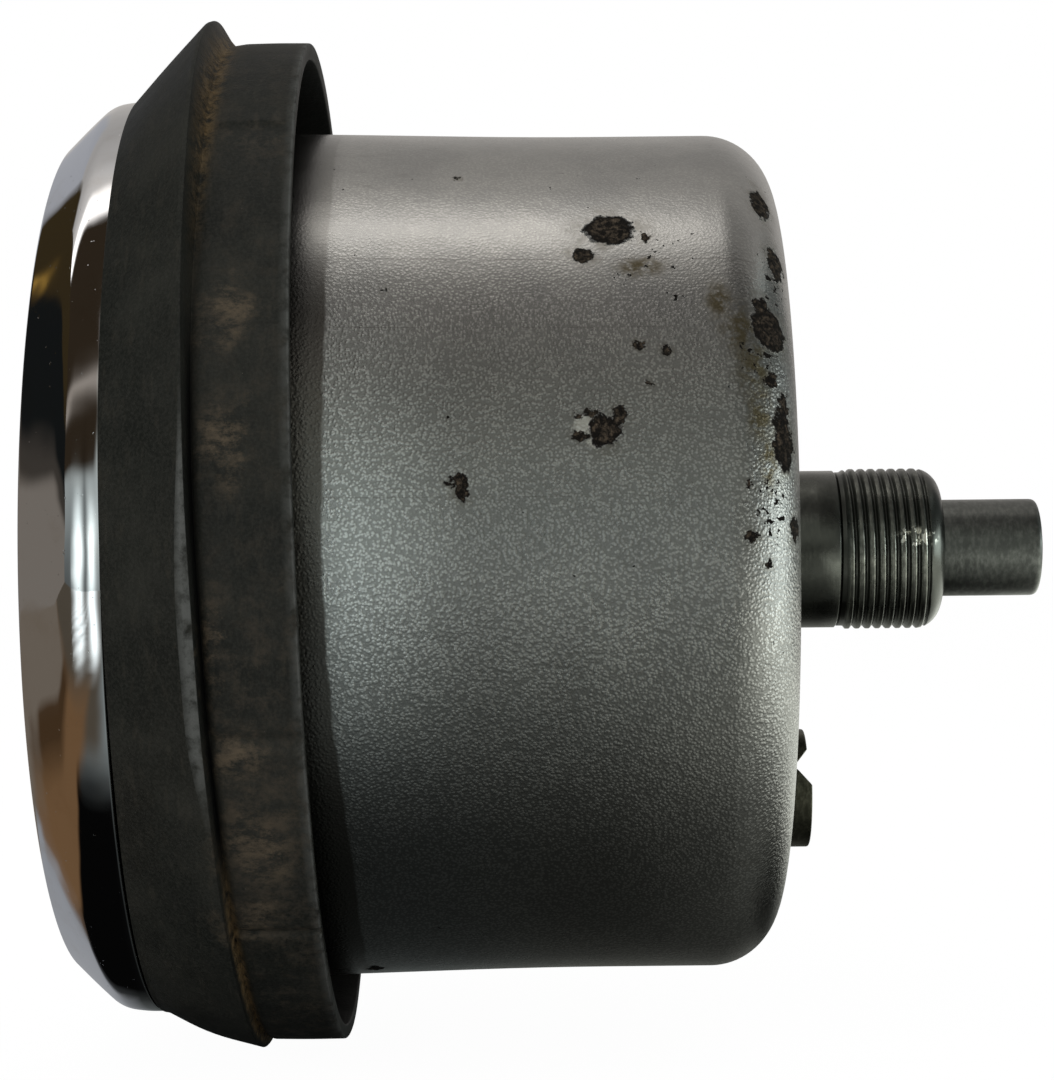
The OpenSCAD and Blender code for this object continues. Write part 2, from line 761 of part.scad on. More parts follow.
// Drive spindle: a rear journal with a square socket, and a long front part for the magnet
module drive_spindle() {
    color([0.55, 0.56, 0.58]) difference() {
        turned([[0, nose_front], [spindle_r, nose_front], [spindle_r, clip_front],
            [spindle_r - clip_depth, clip_front], [spindle_r - clip_depth, clip_front + clip_t],
            [spindle_r, clip_front + clip_t], [spindle_r, journal_front],
            [journal_r, journal_front], [journal_r, spindle_rear], [0, spindle_rear]]);
        bar(nose_r, nose_front - over, nose_front + nose_l);
        translate([-socket_w/2, spindle_rear - socket_l, -socket_w/2])
            cube([socket_w, socket_l + over, socket_w]);
    }
}

// Open retaining ring in the spindle's groove
module circlip() {
    color([0.35, 0.36, 0.38]) difference() {
        tube(clip_r, spindle_r - clip_depth, clip_front, clip_front + clip_t);
        translate([0, clip_front - over, -clip_opening/2])
            cube([2*clip_r, clip_t + 2*over, clip_opening]);
    }
}

// Brass hub that carries the magnet on the spindle
module magnet_hub() {
    color([0.74, 0.62, 0.33]) turned([[spindle_r, magnet_front], [hub_r, magnet_front],
        [hub_r, magnet_rear], [hub_flange_r, magnet_rear], [hub_flange_r, hub_rear],
        [spindle_r, hub_rear]]);
}

// Ring magnet
module magnet() {
    color([0.30, 0.29, 0.28]) tube(magnet_r, hub_r, magnet_front, magnet_rear);
}

// Steel cup that turns with the magnet and closes its field round the drag cup
module flux_cup() {
    color([0.62, 0.62, 0.60]) turned([[spindle_r, hub_rear], [flux_inner, hub_rear],
        [flux_inner, flux_front], [flux_r, flux_front], [flux_r, flux_rear], [spindle_r, flux_rear]]);
}

// Bearing in the spindle's nose for the staff's rear end
module nose_jewel() {
    color([0.62, 0.16, 0.20]) turned([[staff_bore, nose_front], [nose_r, nose_front],
        [nose_r, nose_front + nose_l], [0, nose_front + nose_l],
        [0, nose_front + nose_l - nose_floor], [staff_bore, nose_front + nose_l - nose_floor]]);
}

// Staff that joins the drag cup to the pointer
module pointer_staff() {
    color([0.60, 0.61, 0.64]) bar(staff_r, staff_front, staff_rear);
}

// Split collet that holds the hairspring's inner end
module hairspring_collet() {
    color([0.74, 0.62, 0.33]) difference() {
        tube(collet_r, staff_r, collet_front, collet_front + collet_l);
        translate([0, collet_front - over, -collet_slit/2])
            cube([collet_r + over, collet_l + 2*over, collet_slit]);
    }
}

// Hub of the drag cup
module cup_hub() {
    color([0.74, 0.62, 0.33]) turned([[staff_r, cup_hub_front], [cup_hub_r, cup_hub_front],
        [cup_hub_r, cup_web_front], [cup_neck_r, cup_web_front], [cup_neck_r, cup_hub_rear],
        [staff_r, cup_hub_rear]]);
}

// Aluminium cup that the turning magnet drags round
module drag_cup() {
    color([0.80, 0.81, 0.82]) turned([[cup_neck_r, cup_web_front], [cup_r, cup_web_front],
        [cup_r, cup_rear], [cup_inner, cup_rear], [cup_inner, cup_web_rear],
        [cup_neck_r, cup_web_rear]]);
}

// Pointer: a tapered blade, a round hub and a counterweight tail
module pointer() {
    blade_l = pointer_l - blade_end;
    color([0.88, 0.86, 0.80]) difference() {
        union() {
            disc(pointer_hub_r, pointer_front, pointer_rear);
            rotate([0, rest_clock, 0]) plate(pointer_front, pointer_rear)
                polygon([[-tail_end, -tail_l], [-blade_root, 0], [-blade_tip, blade_l],
                    [0, pointer_l], [blade_tip, blade_l], [blade_root, 0], [tail_end, -tail_l]]);
        }
        bar(staff_r, pointer_front - over, pointer_rear + over);
    }
}

// Domed black cap over the pointer's hub
module pointer_cap() {
    cap_r = cap_d/2;
    color([0.06, 0.06, 0.06]) turned(concat(
        [[0, pointer_front - cap_h]],
        arc(cap_r - cap_brim, pointer_front - cap_h + cap_brim, cap_brim, -90, 0, 5),
        [[cap_r, pointer_front], [staff_r, pointer_front], [staff_r, staff_front], [0, staff_front]]));
}

case_can();
bezel();
glass();
glass_gasket();
dial_hood();
dial_plate();
dial_screws();
dial_posts();
front_plate();
rear_plate();
pillars();
front_jewel();
regulator_arm();
hairspring_stud();
hairspring();
stop_pin();
drive_boss();
boss_gasket();
case_screws();
front_bush();
spigot_tube();
rear_bush();
thrust_washer();
lamp_ferrule();
panel_ring();
drive_spindle();
circlip();
magnet_hub();
magnet();
flux_cup();
nose_jewel();
pointer_staff();
hairspring_collet();
cup_hub();
drag_cup();
pointer();
pointer_cap();
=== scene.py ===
"""Looks of a cable-driven tachometer: drawn zinc-plated can, chromed bezel, rubber panel ring.

Every piece is made in the CAD's frame, in millimetres, and scaled to metres when its mesh is made.
The axis is Y: the dial looks towards -Y, the drive leaves towards +Y, and +Z is up. Clock angles
run clockwise from the top, seen from the dial, so the photographed side is at 90 degrees.
"""

import math

import bmesh
import bpy
import numpy as np
from mathutils import Matrix


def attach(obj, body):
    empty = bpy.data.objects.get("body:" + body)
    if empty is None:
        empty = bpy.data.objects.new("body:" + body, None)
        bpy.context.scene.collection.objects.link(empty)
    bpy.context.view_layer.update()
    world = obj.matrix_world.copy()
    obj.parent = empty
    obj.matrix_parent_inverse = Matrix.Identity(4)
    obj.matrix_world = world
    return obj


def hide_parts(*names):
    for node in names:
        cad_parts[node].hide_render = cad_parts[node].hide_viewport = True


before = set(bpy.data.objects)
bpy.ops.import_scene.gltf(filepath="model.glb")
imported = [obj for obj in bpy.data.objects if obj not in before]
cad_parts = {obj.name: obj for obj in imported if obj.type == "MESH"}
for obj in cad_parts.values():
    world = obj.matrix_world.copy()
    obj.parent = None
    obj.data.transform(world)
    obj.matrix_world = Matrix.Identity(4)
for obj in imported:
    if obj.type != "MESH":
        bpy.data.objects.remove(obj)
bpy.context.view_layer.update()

MM = 0.001

# Stations and radii of the CAD model, in millimetres
CAN_R = 57.15
MOUTH_R = 57.95
CAN_BACK = 72.0
CAN_WALL = 0.8
CORNER_R = 9.0
BOSS_HOLE_R = 11.2
LAMP_HOLE_R = 8.2
SCREW_CIRCLE_R = 17
SCREW_HOLE_R = 1.55
BEZEL_R = 62.5
BEZEL_REAR = -11.2
BEZEL_FRONT = -22.2
WINDOW_R = 51.55
DIAL_FACE = -8.5
POINTER_FRONT = -11.1
LAMP_AXIS = -33.2
THREAD_START = 82.0
BOSS_END = 95.7
SPIGOT_END = 109.3


def rounded(line, cuts, steps=6):
    """Rounds the corners of a closed line, or of an array of closed lines.

    At a corner P, the points A and B lie one cut before it and after it, and the corner becomes the
    curve (1 - t)^2 A + 2 t (1 - t) P + t^2 B. The last axis of line holds the two coordinates.
    """
    line = np.asarray(line, float)
    before = np.roll(line, 1, axis=-2) - line
    after = np.roll(line, -1, axis=-2) - line
    back = np.linalg.norm(before, axis=-1, keepdims=True)
    ahead = np.linalg.norm(after, axis=-1, keepdims=True)
    cut = np.broadcast_to(np.asarray(cuts, float)[..., None], back.shape)
    a = line + before / back * np.minimum(cut, 0.49 * back)
    b = line + after / ahead * np.minimum(cut, 0.49 * ahead)
    t = np.linspace(0, 1, steps + 1)[:, None]
    a, b, corner = a[..., None, :], b[..., None, :], line[..., None, :]
    curve = (1 - t) ** 2 * a + 2 * t * (1 - t) * corner + t**2 * b
    return curve.reshape(*line.shape[:-2], -1, 2)


def dense(line, longest):
    """Puts even points on the runs of a closed line, so that no run is longer than longest."""
    ahead = np.roll(line, -1, axis=-2)
    runs = np.linalg.norm(ahead - line, axis=-1)
    runs = runs.reshape(-1, runs.shape[-1]).max(0)
    parts = []
    for i, run in enumerate(runs):
        count = max(1, math.ceil(run / longest))
        t = (np.arange(count) / count)[:, None]
        parts.append(line[..., i : i + 1, :] * (1 - t) + ahead[..., i : i + 1, :] * t)
    return np.concatenate(parts, axis=-2)


def sheet(outer, wall):
    """Closed outline of bent sheet: the points [r, y] of its outer side, and these moved inward.

    Each inner point is the outer one plus wall (a + b) / (1 + a.b), where a and b are the unit
    vectors to the right of the runs before and after it.
    """
    outer = np.asarray(outer, float)
    run = np.diff(outer, axis=0)
    right = np.stack([run[:, 1], -run[:, 0]], -1) / np.linalg.norm(run, axis=1, keepdims=True)
    a = np.vstack([right[:1], right])
    b = np.vstack([right, right[-1:]])
    inner = outer + wall * (a + b) / (1 + (a * b).sum(1, keepdims=True))
    return np.vstack([outer, inner[::-1]])


def arc(r, y, radius, start, end, count=12):
    """Points [r, y] on an arc about (r, y), from one angle to another in degrees."""
    t = np.radians(np.linspace(start, end, count + 1))
    return np.stack([r + radius * np.cos(t), y + radius * np.sin(t)], -1)


def carried(line, clocks):
    """Carries a line [r, y] round the axis: x = r sin a, z = r cos a at each clock angle a.

    The line is one for all angles, or one for each. The angles are in degrees.
    """
    line = np.broadcast_to(line, (len(clocks), *np.shape(line)[-2:]))
    a = np.radians(clocks)[:, None]
    return np.stack([line[..., 0] * np.sin(a), line[..., 1], line[..., 0] * np.cos(a)], -1)


def full_turn(count):
    """Even clock angles for a whole turn, in degrees."""
    return np.arange(count) * 360.0 / count


def smooth(x):
    """The step 3x^2 - 2x^3 from 0 to 1, flat outside."""
    x = np.clip(x, 0, 1)
    return x * x * (3 - 2 * x)


def step(x, start, length):
    """A smooth step from 0 at start to 1 after length. A negative length steps the other way."""
    return smooth((x - start) / length)


def hump(x):
    """The bell exp(-x^2)."""
    return np.exp(-np.square(x))


def finished(mesh, sharp=38.0):
    """Closes the poles and seams of a mesh and marks its edges sharper than sharp degrees."""
    work = bmesh.new()
    work.from_mesh(mesh)
    bmesh.ops.remove_doubles(work, verts=work.verts, dist=1.5e-6)
    work.to_mesh(mesh)
    work.free()
    mesh.shade_smooth()
    mesh.set_sharp_from_angle(angle=math.radians(sharp))
    return mesh


def cells(rows, count, round_rows=True, round_count=True):
    """Faces between the points of a grid, which may wrap round on either side."""
    last_row, last = rows - (not round_rows), count - (not round_count)
    i, j = np.meshgrid(np.arange(last_row), np.arange(last), indexing="ij")
    ni, nj = (i + 1) % rows, (j + 1) % count
    corners = [i * count + j, i * count + nj, ni * count + nj, ni * count + j]
    return np.stack(corners, -1).reshape(-1, 4)


def built(name, points, faces):
    """A mesh from points in millimetres and lists of their numbers, one for each face."""
    mesh = bpy.data.meshes.new(name)
    mesh.from_pydata((np.asarray(points).reshape(-1, 3) * MM).tolist(), [], faces)
    return mesh


def skin(name, grid, marks=None, sharp=38.0):
    """A closed mesh from a grid of points in millimetres, which wraps on both sides.

    The faces are turned over where the sum of p0.(p1 x p2) + p0.(p2 x p3), six times the volume, is
    negative. marks holds an array for each named attribute.
    """
    quads = cells(*grid.shape[:2])
    p = [grid.reshape(-1, 3)[quads[:, k]] for k in range(4)]
    volume = (p[0] * (np.cross(p[1], p[2]) + np.cross(p[2], p[3]))).sum()
    if volume < 0:
        quads = quads[:, ::-1]
    mesh = built(name, grid, quads.tolist())
    for mark, values in (marks or {}).items():
        layer = mesh.attributes.new(mark, "FLOAT", "POINT")
        layer.data.foreach_set("value", values.astype(np.float32).ravel())
    return finished(mesh, sharp)


def outward(mesh):
    """Turns the faces of a mesh outward."""
    work = bmesh.new()
    work.from_mesh(mesh)
    bmesh.ops.recalc_face_normals(work, faces=work.faces)
    work.to_mesh(mesh)
    work.free()
    return mesh


def baked(obj):
    """The mesh of an object after its modifiers, or of a line of text."""
    seen = obj.evaluated_get(bpy.context.evaluated_depsgraph_get())
    return bpy.data.meshes.new_from_object(seen)


def placed(name, data):
    """A new object in the scene, unturned at the origin."""
    obj = bpy.data.objects.new(name, data)
    bpy.context.scene.collection.objects.link(obj)
    return obj


def piece(name, mesh, finish, body="housing", stands_for=()):
    """Puts a mesh in the scene as a piece of the object that rides on one body."""
    obj = placed(name, mesh)
    mesh.materials.clear()
    mesh.materials.append(finish)
    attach(obj, body)
    if stands_for:
        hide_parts(*stands_for)


def put(tree, socket, value):
    """Sets an input to a number or colour, or wires it to an output."""
    if isinstance(value, bpy.types.NodeSocket):
        tree.links.new(value, socket)
    elif isinstance(value, tuple) and len(value) == 3 and socket.type == "RGBA":
        socket.default_value = (*value, 1)
    else:
        socket.default_value = value


def node(tree, kind, inputs=None, **settings):
    """A new node of a kind, with its settings and its inputs."""
    made = tree.nodes.new(kind)
    for name, value in settings.items():
        setattr(made, name, value)
    for name, value in (inputs or {}).items():
        put(tree, made.inputs[name], value)
    return made


class Finish:
    """A material with one Principled surface, and short calls for the textures that feed it."""

    def __init__(self, name, colour, metallic, roughness, **constants):
        self.material = bpy.data.materials.new(name)
        self.material.use_nodes = True
        self.tree = self.material.node_tree
        self.shader = self.tree.nodes["Principled BSDF"]
        self.shader.inputs["Base Color"].default_value = (*colour, 1)
        self.shader.inputs["Metallic"].default_value = metallic
        self.shader.inputs["Roughness"].default_value = roughness
        for socket, value in constants.items():
            self.shader.inputs[socket.replace("_", " ")].default_value = value
        self.where = node(self.tree, "ShaderNodeTexCoord").outputs["Object"]

    def feed(self, name, value):
        """Feeds one of the shader's inputs."""
        put(self.tree, self.shader.inputs[name], value)

    def sums(self, operation, a, b=0.5):
        """A Math node."""
        return node(self.tree, "ShaderNodeMath", {0: a, 1: b}, operation=operation).outputs[0]

    def times(self, value, *others):
        """The product of values."""
        for other in others:
            value = self.sums("MULTIPLY", value, other)
        return value

    def plus(self, value, *others):
        """The sum of values."""
        for other in others:
            value = self.sums("ADD", value, other)
        return value

    def vectors(self, operation, a, b=(0, 0, 0)):
        """A Vector Math node: its number for a length, else its vector."""
        made = node(self.tree, "ShaderNodeVectorMath", {0: a, 1: b}, operation=operation)
        return made.outputs["Value" if operation == "LENGTH" else "Vector"]

    def noise(self, grain, detail=3.0, rough=0.55, stretch=None, output="Fac"):
        """Noise with grains of that many millimetres, stretched by a factor on each axis."""
        place = self.where
        if stretch:
            place = self.vectors("MULTIPLY", place, tuple(1 / s for s in stretch))
        inputs = {"Vector": place, "Scale": 1 / (grain * MM), "Detail": detail, "Roughness": rough}
        return node(self.tree, "ShaderNodeTexNoise", inputs).outputs[output]

    def pebbles(self, size):
        """Distance to the nearest of many points, about that many millimetres apart."""
        inputs = {"Vector": self.where, "Scale": 1 / (size * MM), "Smoothness": 0.35}
        made = node(self.tree, "ShaderNodeTexVoronoi", inputs, feature="SMOOTH_F1")
        return made.outputs["Distance"]

    def fade(self, value, low, high, start=0.0, end=1.0):
        """Maps low..high smoothly to start..end."""
        inputs = {"Value": value, "From Min": low, "From Max": high, "To Min": start, "To Max": end}
        made = node(self.tree, "ShaderNodeMapRange", inputs, interpolation_type="SMOOTHSTEP")
        return made.outputs["Result"]

    def blend(self, share, a, b):
        """A colour between a and b."""
        inputs = {"Factor": share, "A": a, "B": b}
        return node(self.tree, "ShaderNodeMix", inputs, data_type="RGBA").outputs["Result"]

    def coats(self, base, *layers):
        """Lays colours over a base, each by its share."""
        for share, colour in layers:
            base = self.blend(share, base, colour)
        return base

    def from_spots(self, near, table, radius):
        """Distance to the nearest spot in half widths.

        A spot is a clock angle, a station, and half widths along the axis and round it.
        """
        least = None
        for angle, station, along, around in table:
            r, a = radius(station), math.radians(angle)
            centre = tuple(v * MM for v in (r * math.sin(a), station, r * math.cos(a)))
            widths = tuple(1 / (half * MM) for half in (around, along, around))
            apart = self.vectors("MULTIPLY", self.vectors("SUBTRACT", near, centre), widths)
            away = self.vectors("LENGTH", apart)
            least = away if least is None else self.sums("MINIMUM", least, away)
        return least

    def ragged(self, grain, reach):
        """The place on the surface moved about by noise, by up to half of reach in millimetres."""
        shift = self.vectors("SUBTRACT", self.noise(grain, 5, 0.7, output="Color"), (0.5, 0.5, 0.5))
        return self.vectors("ADD", self.where, self.vectors("MULTIPLY", shift, (reach * MM,) * 3))

    def mark(self, name):
        """A named attribute of the mesh."""
        return node(self.tree, "ShaderNodeAttribute", attribute_name=name).outputs["Fac"]

    def relief(self, height, depth, normal=None):
        """Bump of that depth in millimetres, on top of another normal."""
        inputs = {"Strength": 1.0, "Distance": depth * MM, "Height": height}
        if normal is not None:
            inputs["Normal"] = normal
        made = node(self.tree, "ShaderNodeBump", inputs)
        self.feed("Normal", made.outputs["Normal"])
        return made.outputs["Normal"]


# Rust spots on the can: clock angle, station, and half widths along the axis and round it
RUST_SPOTS = (
    (45.2, 49.3, 3.0, 2.7), (50.0, 45.9, 1.4, 1.2), (75.1, 48.0, 1.9, 1.9), (73.1, 49.9, 0.9, 1.3),
    (72.9, 46.5, 0.9, 0.5), (73.4, 44.8, 0.7, 0.5), (75.7, 45.0, 0.9, 0.6), (82.1, 30.8, 1.0, 1.5),
    (81.2, 30.3, 1.5, 0.5), (36.8, 68.7, 1.2, 3.4), (48.5, 69.9, 1.1, 2.9), (60.7, 68.5, 2.5, 2.9),
    (57.6, 67.6, 1.2, 1.6), (68.0, 68.3, 1.0, 1.0), (75.7, 69.6, 1.3, 3.8), (71.0, 69.8, 0.8, 1.4),
    (87.2, 70.9, 1.0, 1.5), (81.9, 65.2, 0.6, 0.5), (88.2, 65.4, 0.7, 0.8), (91.6, 67.6, 0.6, 0.5),
    (63.9, 52.5, 0.6, 0.6), (69.3, 53.3, 0.6, 0.5), (64.6, 55.9, 0.7, 0.5), (46.8, 53.6, 0.7, 0.8),
    (50.3, 54.2, 0.5, 0.4), (55.7, 21.2, 0.5, 0.5), (32.9, 29.9, 0.5, 0.6), (162.6, 17.8, 0.9, 2.2),
)
# Fine drawn lines along the can: clock angle and half width round it
DRAWN_LINES = ((50.6, 0.16), (61.3, 0.1), (83.1, 0.1))
# Areas of the can with rust specks, and its brown stains, laid out like the rust spots
SPECKLED = (
    (48.5, 54.0, 4.0, 4.5), (57.0, 56.5, 3.0, 1.8), (66.0, 67.0, 3.0, 7.0), (85.0, 68.0, 3.0, 6.0),
    (53.0, 69.5, 2.0, 8.0), (47.0, 58.5, 2.5, 2.5), (54.0, 51.0, 2.5, 2.0), (205.0, 66.0, 4.0, 9.0),
    (262.0, 40.0, 5.0, 6.0), (318.0, 58.0, 6.0, 5.0),
)
STAINS = (
    (57.5, 62.4, 1.6, 3.0), (61.5, 64.6, 2.2, 4.0), (66.5, 66.2, 2.4, 4.6), (72.5, 66.8, 1.8, 4.4),
    (79.0, 67.6, 1.2, 3.6), (52.0, 53.0, 3.0, 1.6), (207.0, 66.0, 2.4, 6.0),
)
# Bare patches of bright plating inside a rust spot
BARE_PATCHES = ((74.3, 45.5, 1.2, 1.0), (76.6, 46.6, 0.8, 0.4))
# Dusty brown patches on the rubber's skirt, laid out like the rust spots
DUST_PATCHES = (
    (65.4, 3.9, 2.2, 3.4), (78.7, 3.7, 2.3, 3.6), (110.4, 4.2, 2.6, 2.8), (120.6, 6.4, 3.6, 5.0),
    (131.0, 5.0, 3.0, 3.0), (99.0, 1.7, 0.8, 4.5), (250.0, 5.0, 3.0, 4.0), (300.0, 4.0, 2.4, 3.5),
)


def can_radius(station):
    """Outer radius of the can at a station of its barrel or rear corner."""
    over = station - (CAN_BACK - CORNER_R)
    return CAN_R if over < 0 else CAN_R - CORNER_R + math.sqrt(CORNER_R**2 - over**2)


def zinc_plate():
    """Zinc plate: grain that fades at the top, a dark band by the ring that is part residue and
    part painted shade, painted light and painted shade near the ring, rust, pits and stains.

    A spot's mark is the distance from it in half widths, moved by noise so that its edge is ragged.
    """
    f = Finish("zinc_plate", (0.4, 0.4, 0.4), 1.0, 0.3, Specular_IOR_Level=0.1)
    x, y, z = node(f.tree, "ShaderNodeSeparateXYZ", {0: f.where}).outputs
    clock = f.sums("ABSOLUTE", f.sums("ARCTAN2", x, z))
    across = f.sums("SQRT", f.plus(f.times(x, x), f.times(z, z)))

    def by_clock(low, high, start=0.0, end=1.0):
        """Fades between two clock angles in degrees, alike on both sides of the can."""
        return f.fade(clock, math.radians(low), math.radians(high), start, end)

    def by_station(low, high):
        """Fades between two stations in millimetres."""
        return f.fade(y, low * MM, high * MM)

    # Dark band by the rubber ring: part film of residue, part painted shade and reflection of the
    # skirt; fainter along the top and wider low down
    edge = f.sums("SUBTRACT", y, by_clock(90, 142, 0, 2.6 * MM))
    edge = f.plus(edge, f.times(f.noise(7), 0.9 * MM))
    film_and_shade = f.fade(edge, 15.0 * MM, 14.5 * MM)
    film_and_shade_depth = f.times(film_and_shade, by_clock(46, 60, 0.3, 0.92))

    near = f.ragged(1.5, 3.2)
    spots = f.from_spots(near, RUST_SPOTS, can_radius)
    # Small pits: rare everywhere, more at the rear corner, and close together in the speckled areas
    corner = f.times(by_station(60, 68), f.fade(across, 49 * MM, 53 * MM))
    speckled = f.fade(f.from_spots(near, SPECKLED, can_radius), 1.4, 0.3)
    pits = f.plus(f.noise(1.15, 3, 0.6), f.times(speckled, 0.13), f.times(corner, 0.03))
    rust = f.sums("MAXIMUM", f.fade(spots, 1.1, 0.97), f.fade(pits, 0.745, 0.765))
    bare = f.fade(f.from_spots(near, BARE_PATCHES, can_radius), 1.3, 0.8)
    halo = f.times(f.fade(spots, 2.2, 0.9), f.fade(f.noise(2.5, 4), 0.35, 0.7))
    stained = f.fade(f.from_spots(near, STAINS, can_radius), 1.5, 0.3)
    stained = f.times(stained, f.fade(f.noise(1.6, 5, 0.65), 0.32, 0.56))
    brown = f.sums("MAXIMUM", f.times(halo, 0.4), f.times(stained, 0.9))

    lines = None
    for angle, half in DRAWN_LINES:
        off = f.sums("ABSOLUTE", f.sums("SUBTRACT", clock, math.radians(angle)))
        line = f.fade(off, half / CAN_R, 0.3 * half / CAN_R)
        lines = line if lines is None else f.sums("MAXIMUM", lines, line)
    lines = f.times(lines, f.fade(f.noise(9), 0.4, 0.6, 0.2, 0.8))

    domes = f.fade(f.pebbles(0.4), 0.75, 0.1)
    grain = f.plus(f.times(domes, 0.38), f.times(f.noise(0.42, 4, 0.75), 0.62))
    grain_share = by_clock(48, 70, 0.24, 1)
    smear = f.noise(5, 5, 0.65, stretch=(1, 2.5, 1))
    scuff = f.times(f.fade(f.noise(0.7, 4, 0.6, stretch=(1, 4, 1)), 0.68, 0.76), by_clock(46, 20))
    # Painted light: brighter plating halfway down the side, near the ring
    painted_light_mid_side = f.times(by_station(34, 13), by_clock(42, 88), by_clock(128, 96))
    # Painted shade and reflection of the ring on the metal close to it, along the top
    painted_ring_shade = f.times(by_station(16.5, 10.8), by_clock(72, 52))
    plate = f.coats(
        f.blend(f.fade(f.noise(14, 4, 0.6), 0.3, 0.7), (0.37, 0.372, 0.362), (0.45, 0.45, 0.432)),
        (painted_light_mid_side, (0.86, 0.90, 0.89)),
        (f.times(f.fade(grain, 0.59, 0.40), grain_share, 0.58), (0.14, 0.142, 0.135)),
        (f.times(f.fade(smear, 0.6, 0.8), 0.35), (0.14, 0.138, 0.125)),
        (f.times(scuff, 0.7), (0.07, 0.068, 0.06)),
        (f.times(lines, 0.5), (0.16, 0.15, 0.14)),
        (film_and_shade_depth, (0.115, 0.108, 0.095)),
        (f.times(painted_ring_shade, 0.75), (0.07, 0.07, 0.068)),
        (brown, (0.115, 0.092, 0.046)),
        (f.times(bare, 0.7), (0.80, 0.79, 0.74)),
    )
    flakes = f.times(f.fade(f.noise(0.7, 4, 0.7), 0.44, 0.7), f.fade(spots, 0.95, 0.7))
    crust = f.blend(flakes, (0.006, 0.005, 0.004), (0.075, 0.058, 0.040))
    f.feed("Base Color", f.blend(rust, plate, crust))
    f.feed("Metallic", f.fade(rust, 0.0, 1.0, 1.0, 0.0))
    even = f.fade(f.noise(5, 4), 0.3, 0.7, 0.22, 0.24)
    added = (f.times(grain_share, 0.05), f.times(brown, 0.25), f.times(rust, 0.5))
    f.feed("Roughness", f.plus(even, *added))
    open_grain = f.times(grain_share, f.fade(film_and_shade, 0, 1, 1, 0.5))
    raised = f.times(f.sums("SUBTRACT", grain, 0.5), open_grain)
    fine = f.relief(f.noise(8, 2), 0.07, f.relief(raised, 0.10))
    f.relief(f.times(rust, f.noise(0.6, 4, 0.7)), 0.5, fine)
    return f.material


def chrome_plate():
    """Polished chrome with slight ripples of the pressed sheet and a haze of fine wear."""
    f = Finish("chrome_plate", (0.72, 0.73, 0.75), 1.0, 0.04)
    haze = f.noise(7, 5, 0.6)
    f.feed("Roughness", f.fade(haze, 0.35, 0.8, 0.025, 0.12))
    f.feed("Base Color", f.blend(f.fade(haze, 0.45, 0.8), (0.72, 0.73, 0.75), (0.65, 0.64, 0.63)))
    ripples = f.relief(f.noise(13, 1.5, 0.4, stretch=(1, 0.7, 1)), 0.35)
    f.relief(f.fade(f.noise(0.8, 2), 0.72, 0.78), -0.02, ripples)
    return f.material


def black_rubber():
    """Aged black rubber: brown dirt in the groove with painted shade deep in it, dusty patches,
    worn edges and pale specks.
    """
    f = Finish("black_rubber", (0.01, 0.01, 0.01), 0.0, 0.55, Specular_IOR_Level=0.08)
    cloud = f.noise(18, 5, 0.6)
    smear = f.noise(4, 6, 0.65, stretch=(1, 0.3, 1))
    tooth = f.fade(f.noise(0.4, 3, 0.7), 0.36, 0.68)
    crumbs = f.noise(2.2, 9, 0.82, stretch=(1, 1.8, 1))
    patch = f.fade(f.from_spots(f.ragged(4, 11), DUST_PATCHES, lambda station: 67.9), 2.2, 0.0)
    dusty = f.times(patch, f.fade(crumbs, 0.42, 0.60))
    dirty = f.times(f.mark("grime"), f.fade(f.noise(1.6, 6, 0.7), 0.34, 0.6))
    speck = f.fade(f.noise(0.9, 3, 0.6), 0.765, 0.79)
    f.feed("Base Color", f.coats(
        f.blend(f.fade(cloud, 0.35, 0.7), (0.0080, 0.0090, 0.0076), (0.0165, 0.0170, 0.0140)),
        (f.times(f.fade(smear, 0.5, 0.75), 0.4), (0.032, 0.029, 0.022)),
        (f.times(tooth, 0.3), (0.034, 0.034, 0.029)),
        (f.times(dusty, 0.85), (0.080, 0.062, 0.041)),
        (f.times(f.mark("dust"), f.fade(f.noise(3, 7, 0.75), 0.45, 0.7)), (0.045, 0.037, 0.027)),
        (dirty, (0.145, 0.098, 0.045)),
        (f.times(f.mark("rim"), f.fade(f.noise(2.5, 5, 0.65), 0.3, 0.6)), (0.070, 0.073, 0.068)),
        (f.mark("shade"), (0.002, 0.002, 0.002)),
        (f.times(speck, 0.6), (0.2, 0.18, 0.14)),
    ))
    f.feed("Roughness", f.fade(cloud, 0.3, 0.75, 0.5, 0.66))
    wave = f.relief(f.noise(9, 3, 0.5), 0.25, f.relief(f.noise(0.45, 3, 0.6), 0.045))
    f.relief(f.times(dirty, f.noise(0.8, 4, 0.7)), 0.3, wave)
    return f.material


def plain_rubber():
    """Clean black rubber of the gasket."""
    f = Finish("gasket_rubber", (0.02, 0.02, 0.02), 0.0, 0.6)
    f.feed("Base Color", f.blend(f.noise(2), (0.014, 0.014, 0.014), (0.03, 0.03, 0.03)))
    f.relief(f.noise(0.4, 3), 0.03)
    return f.material


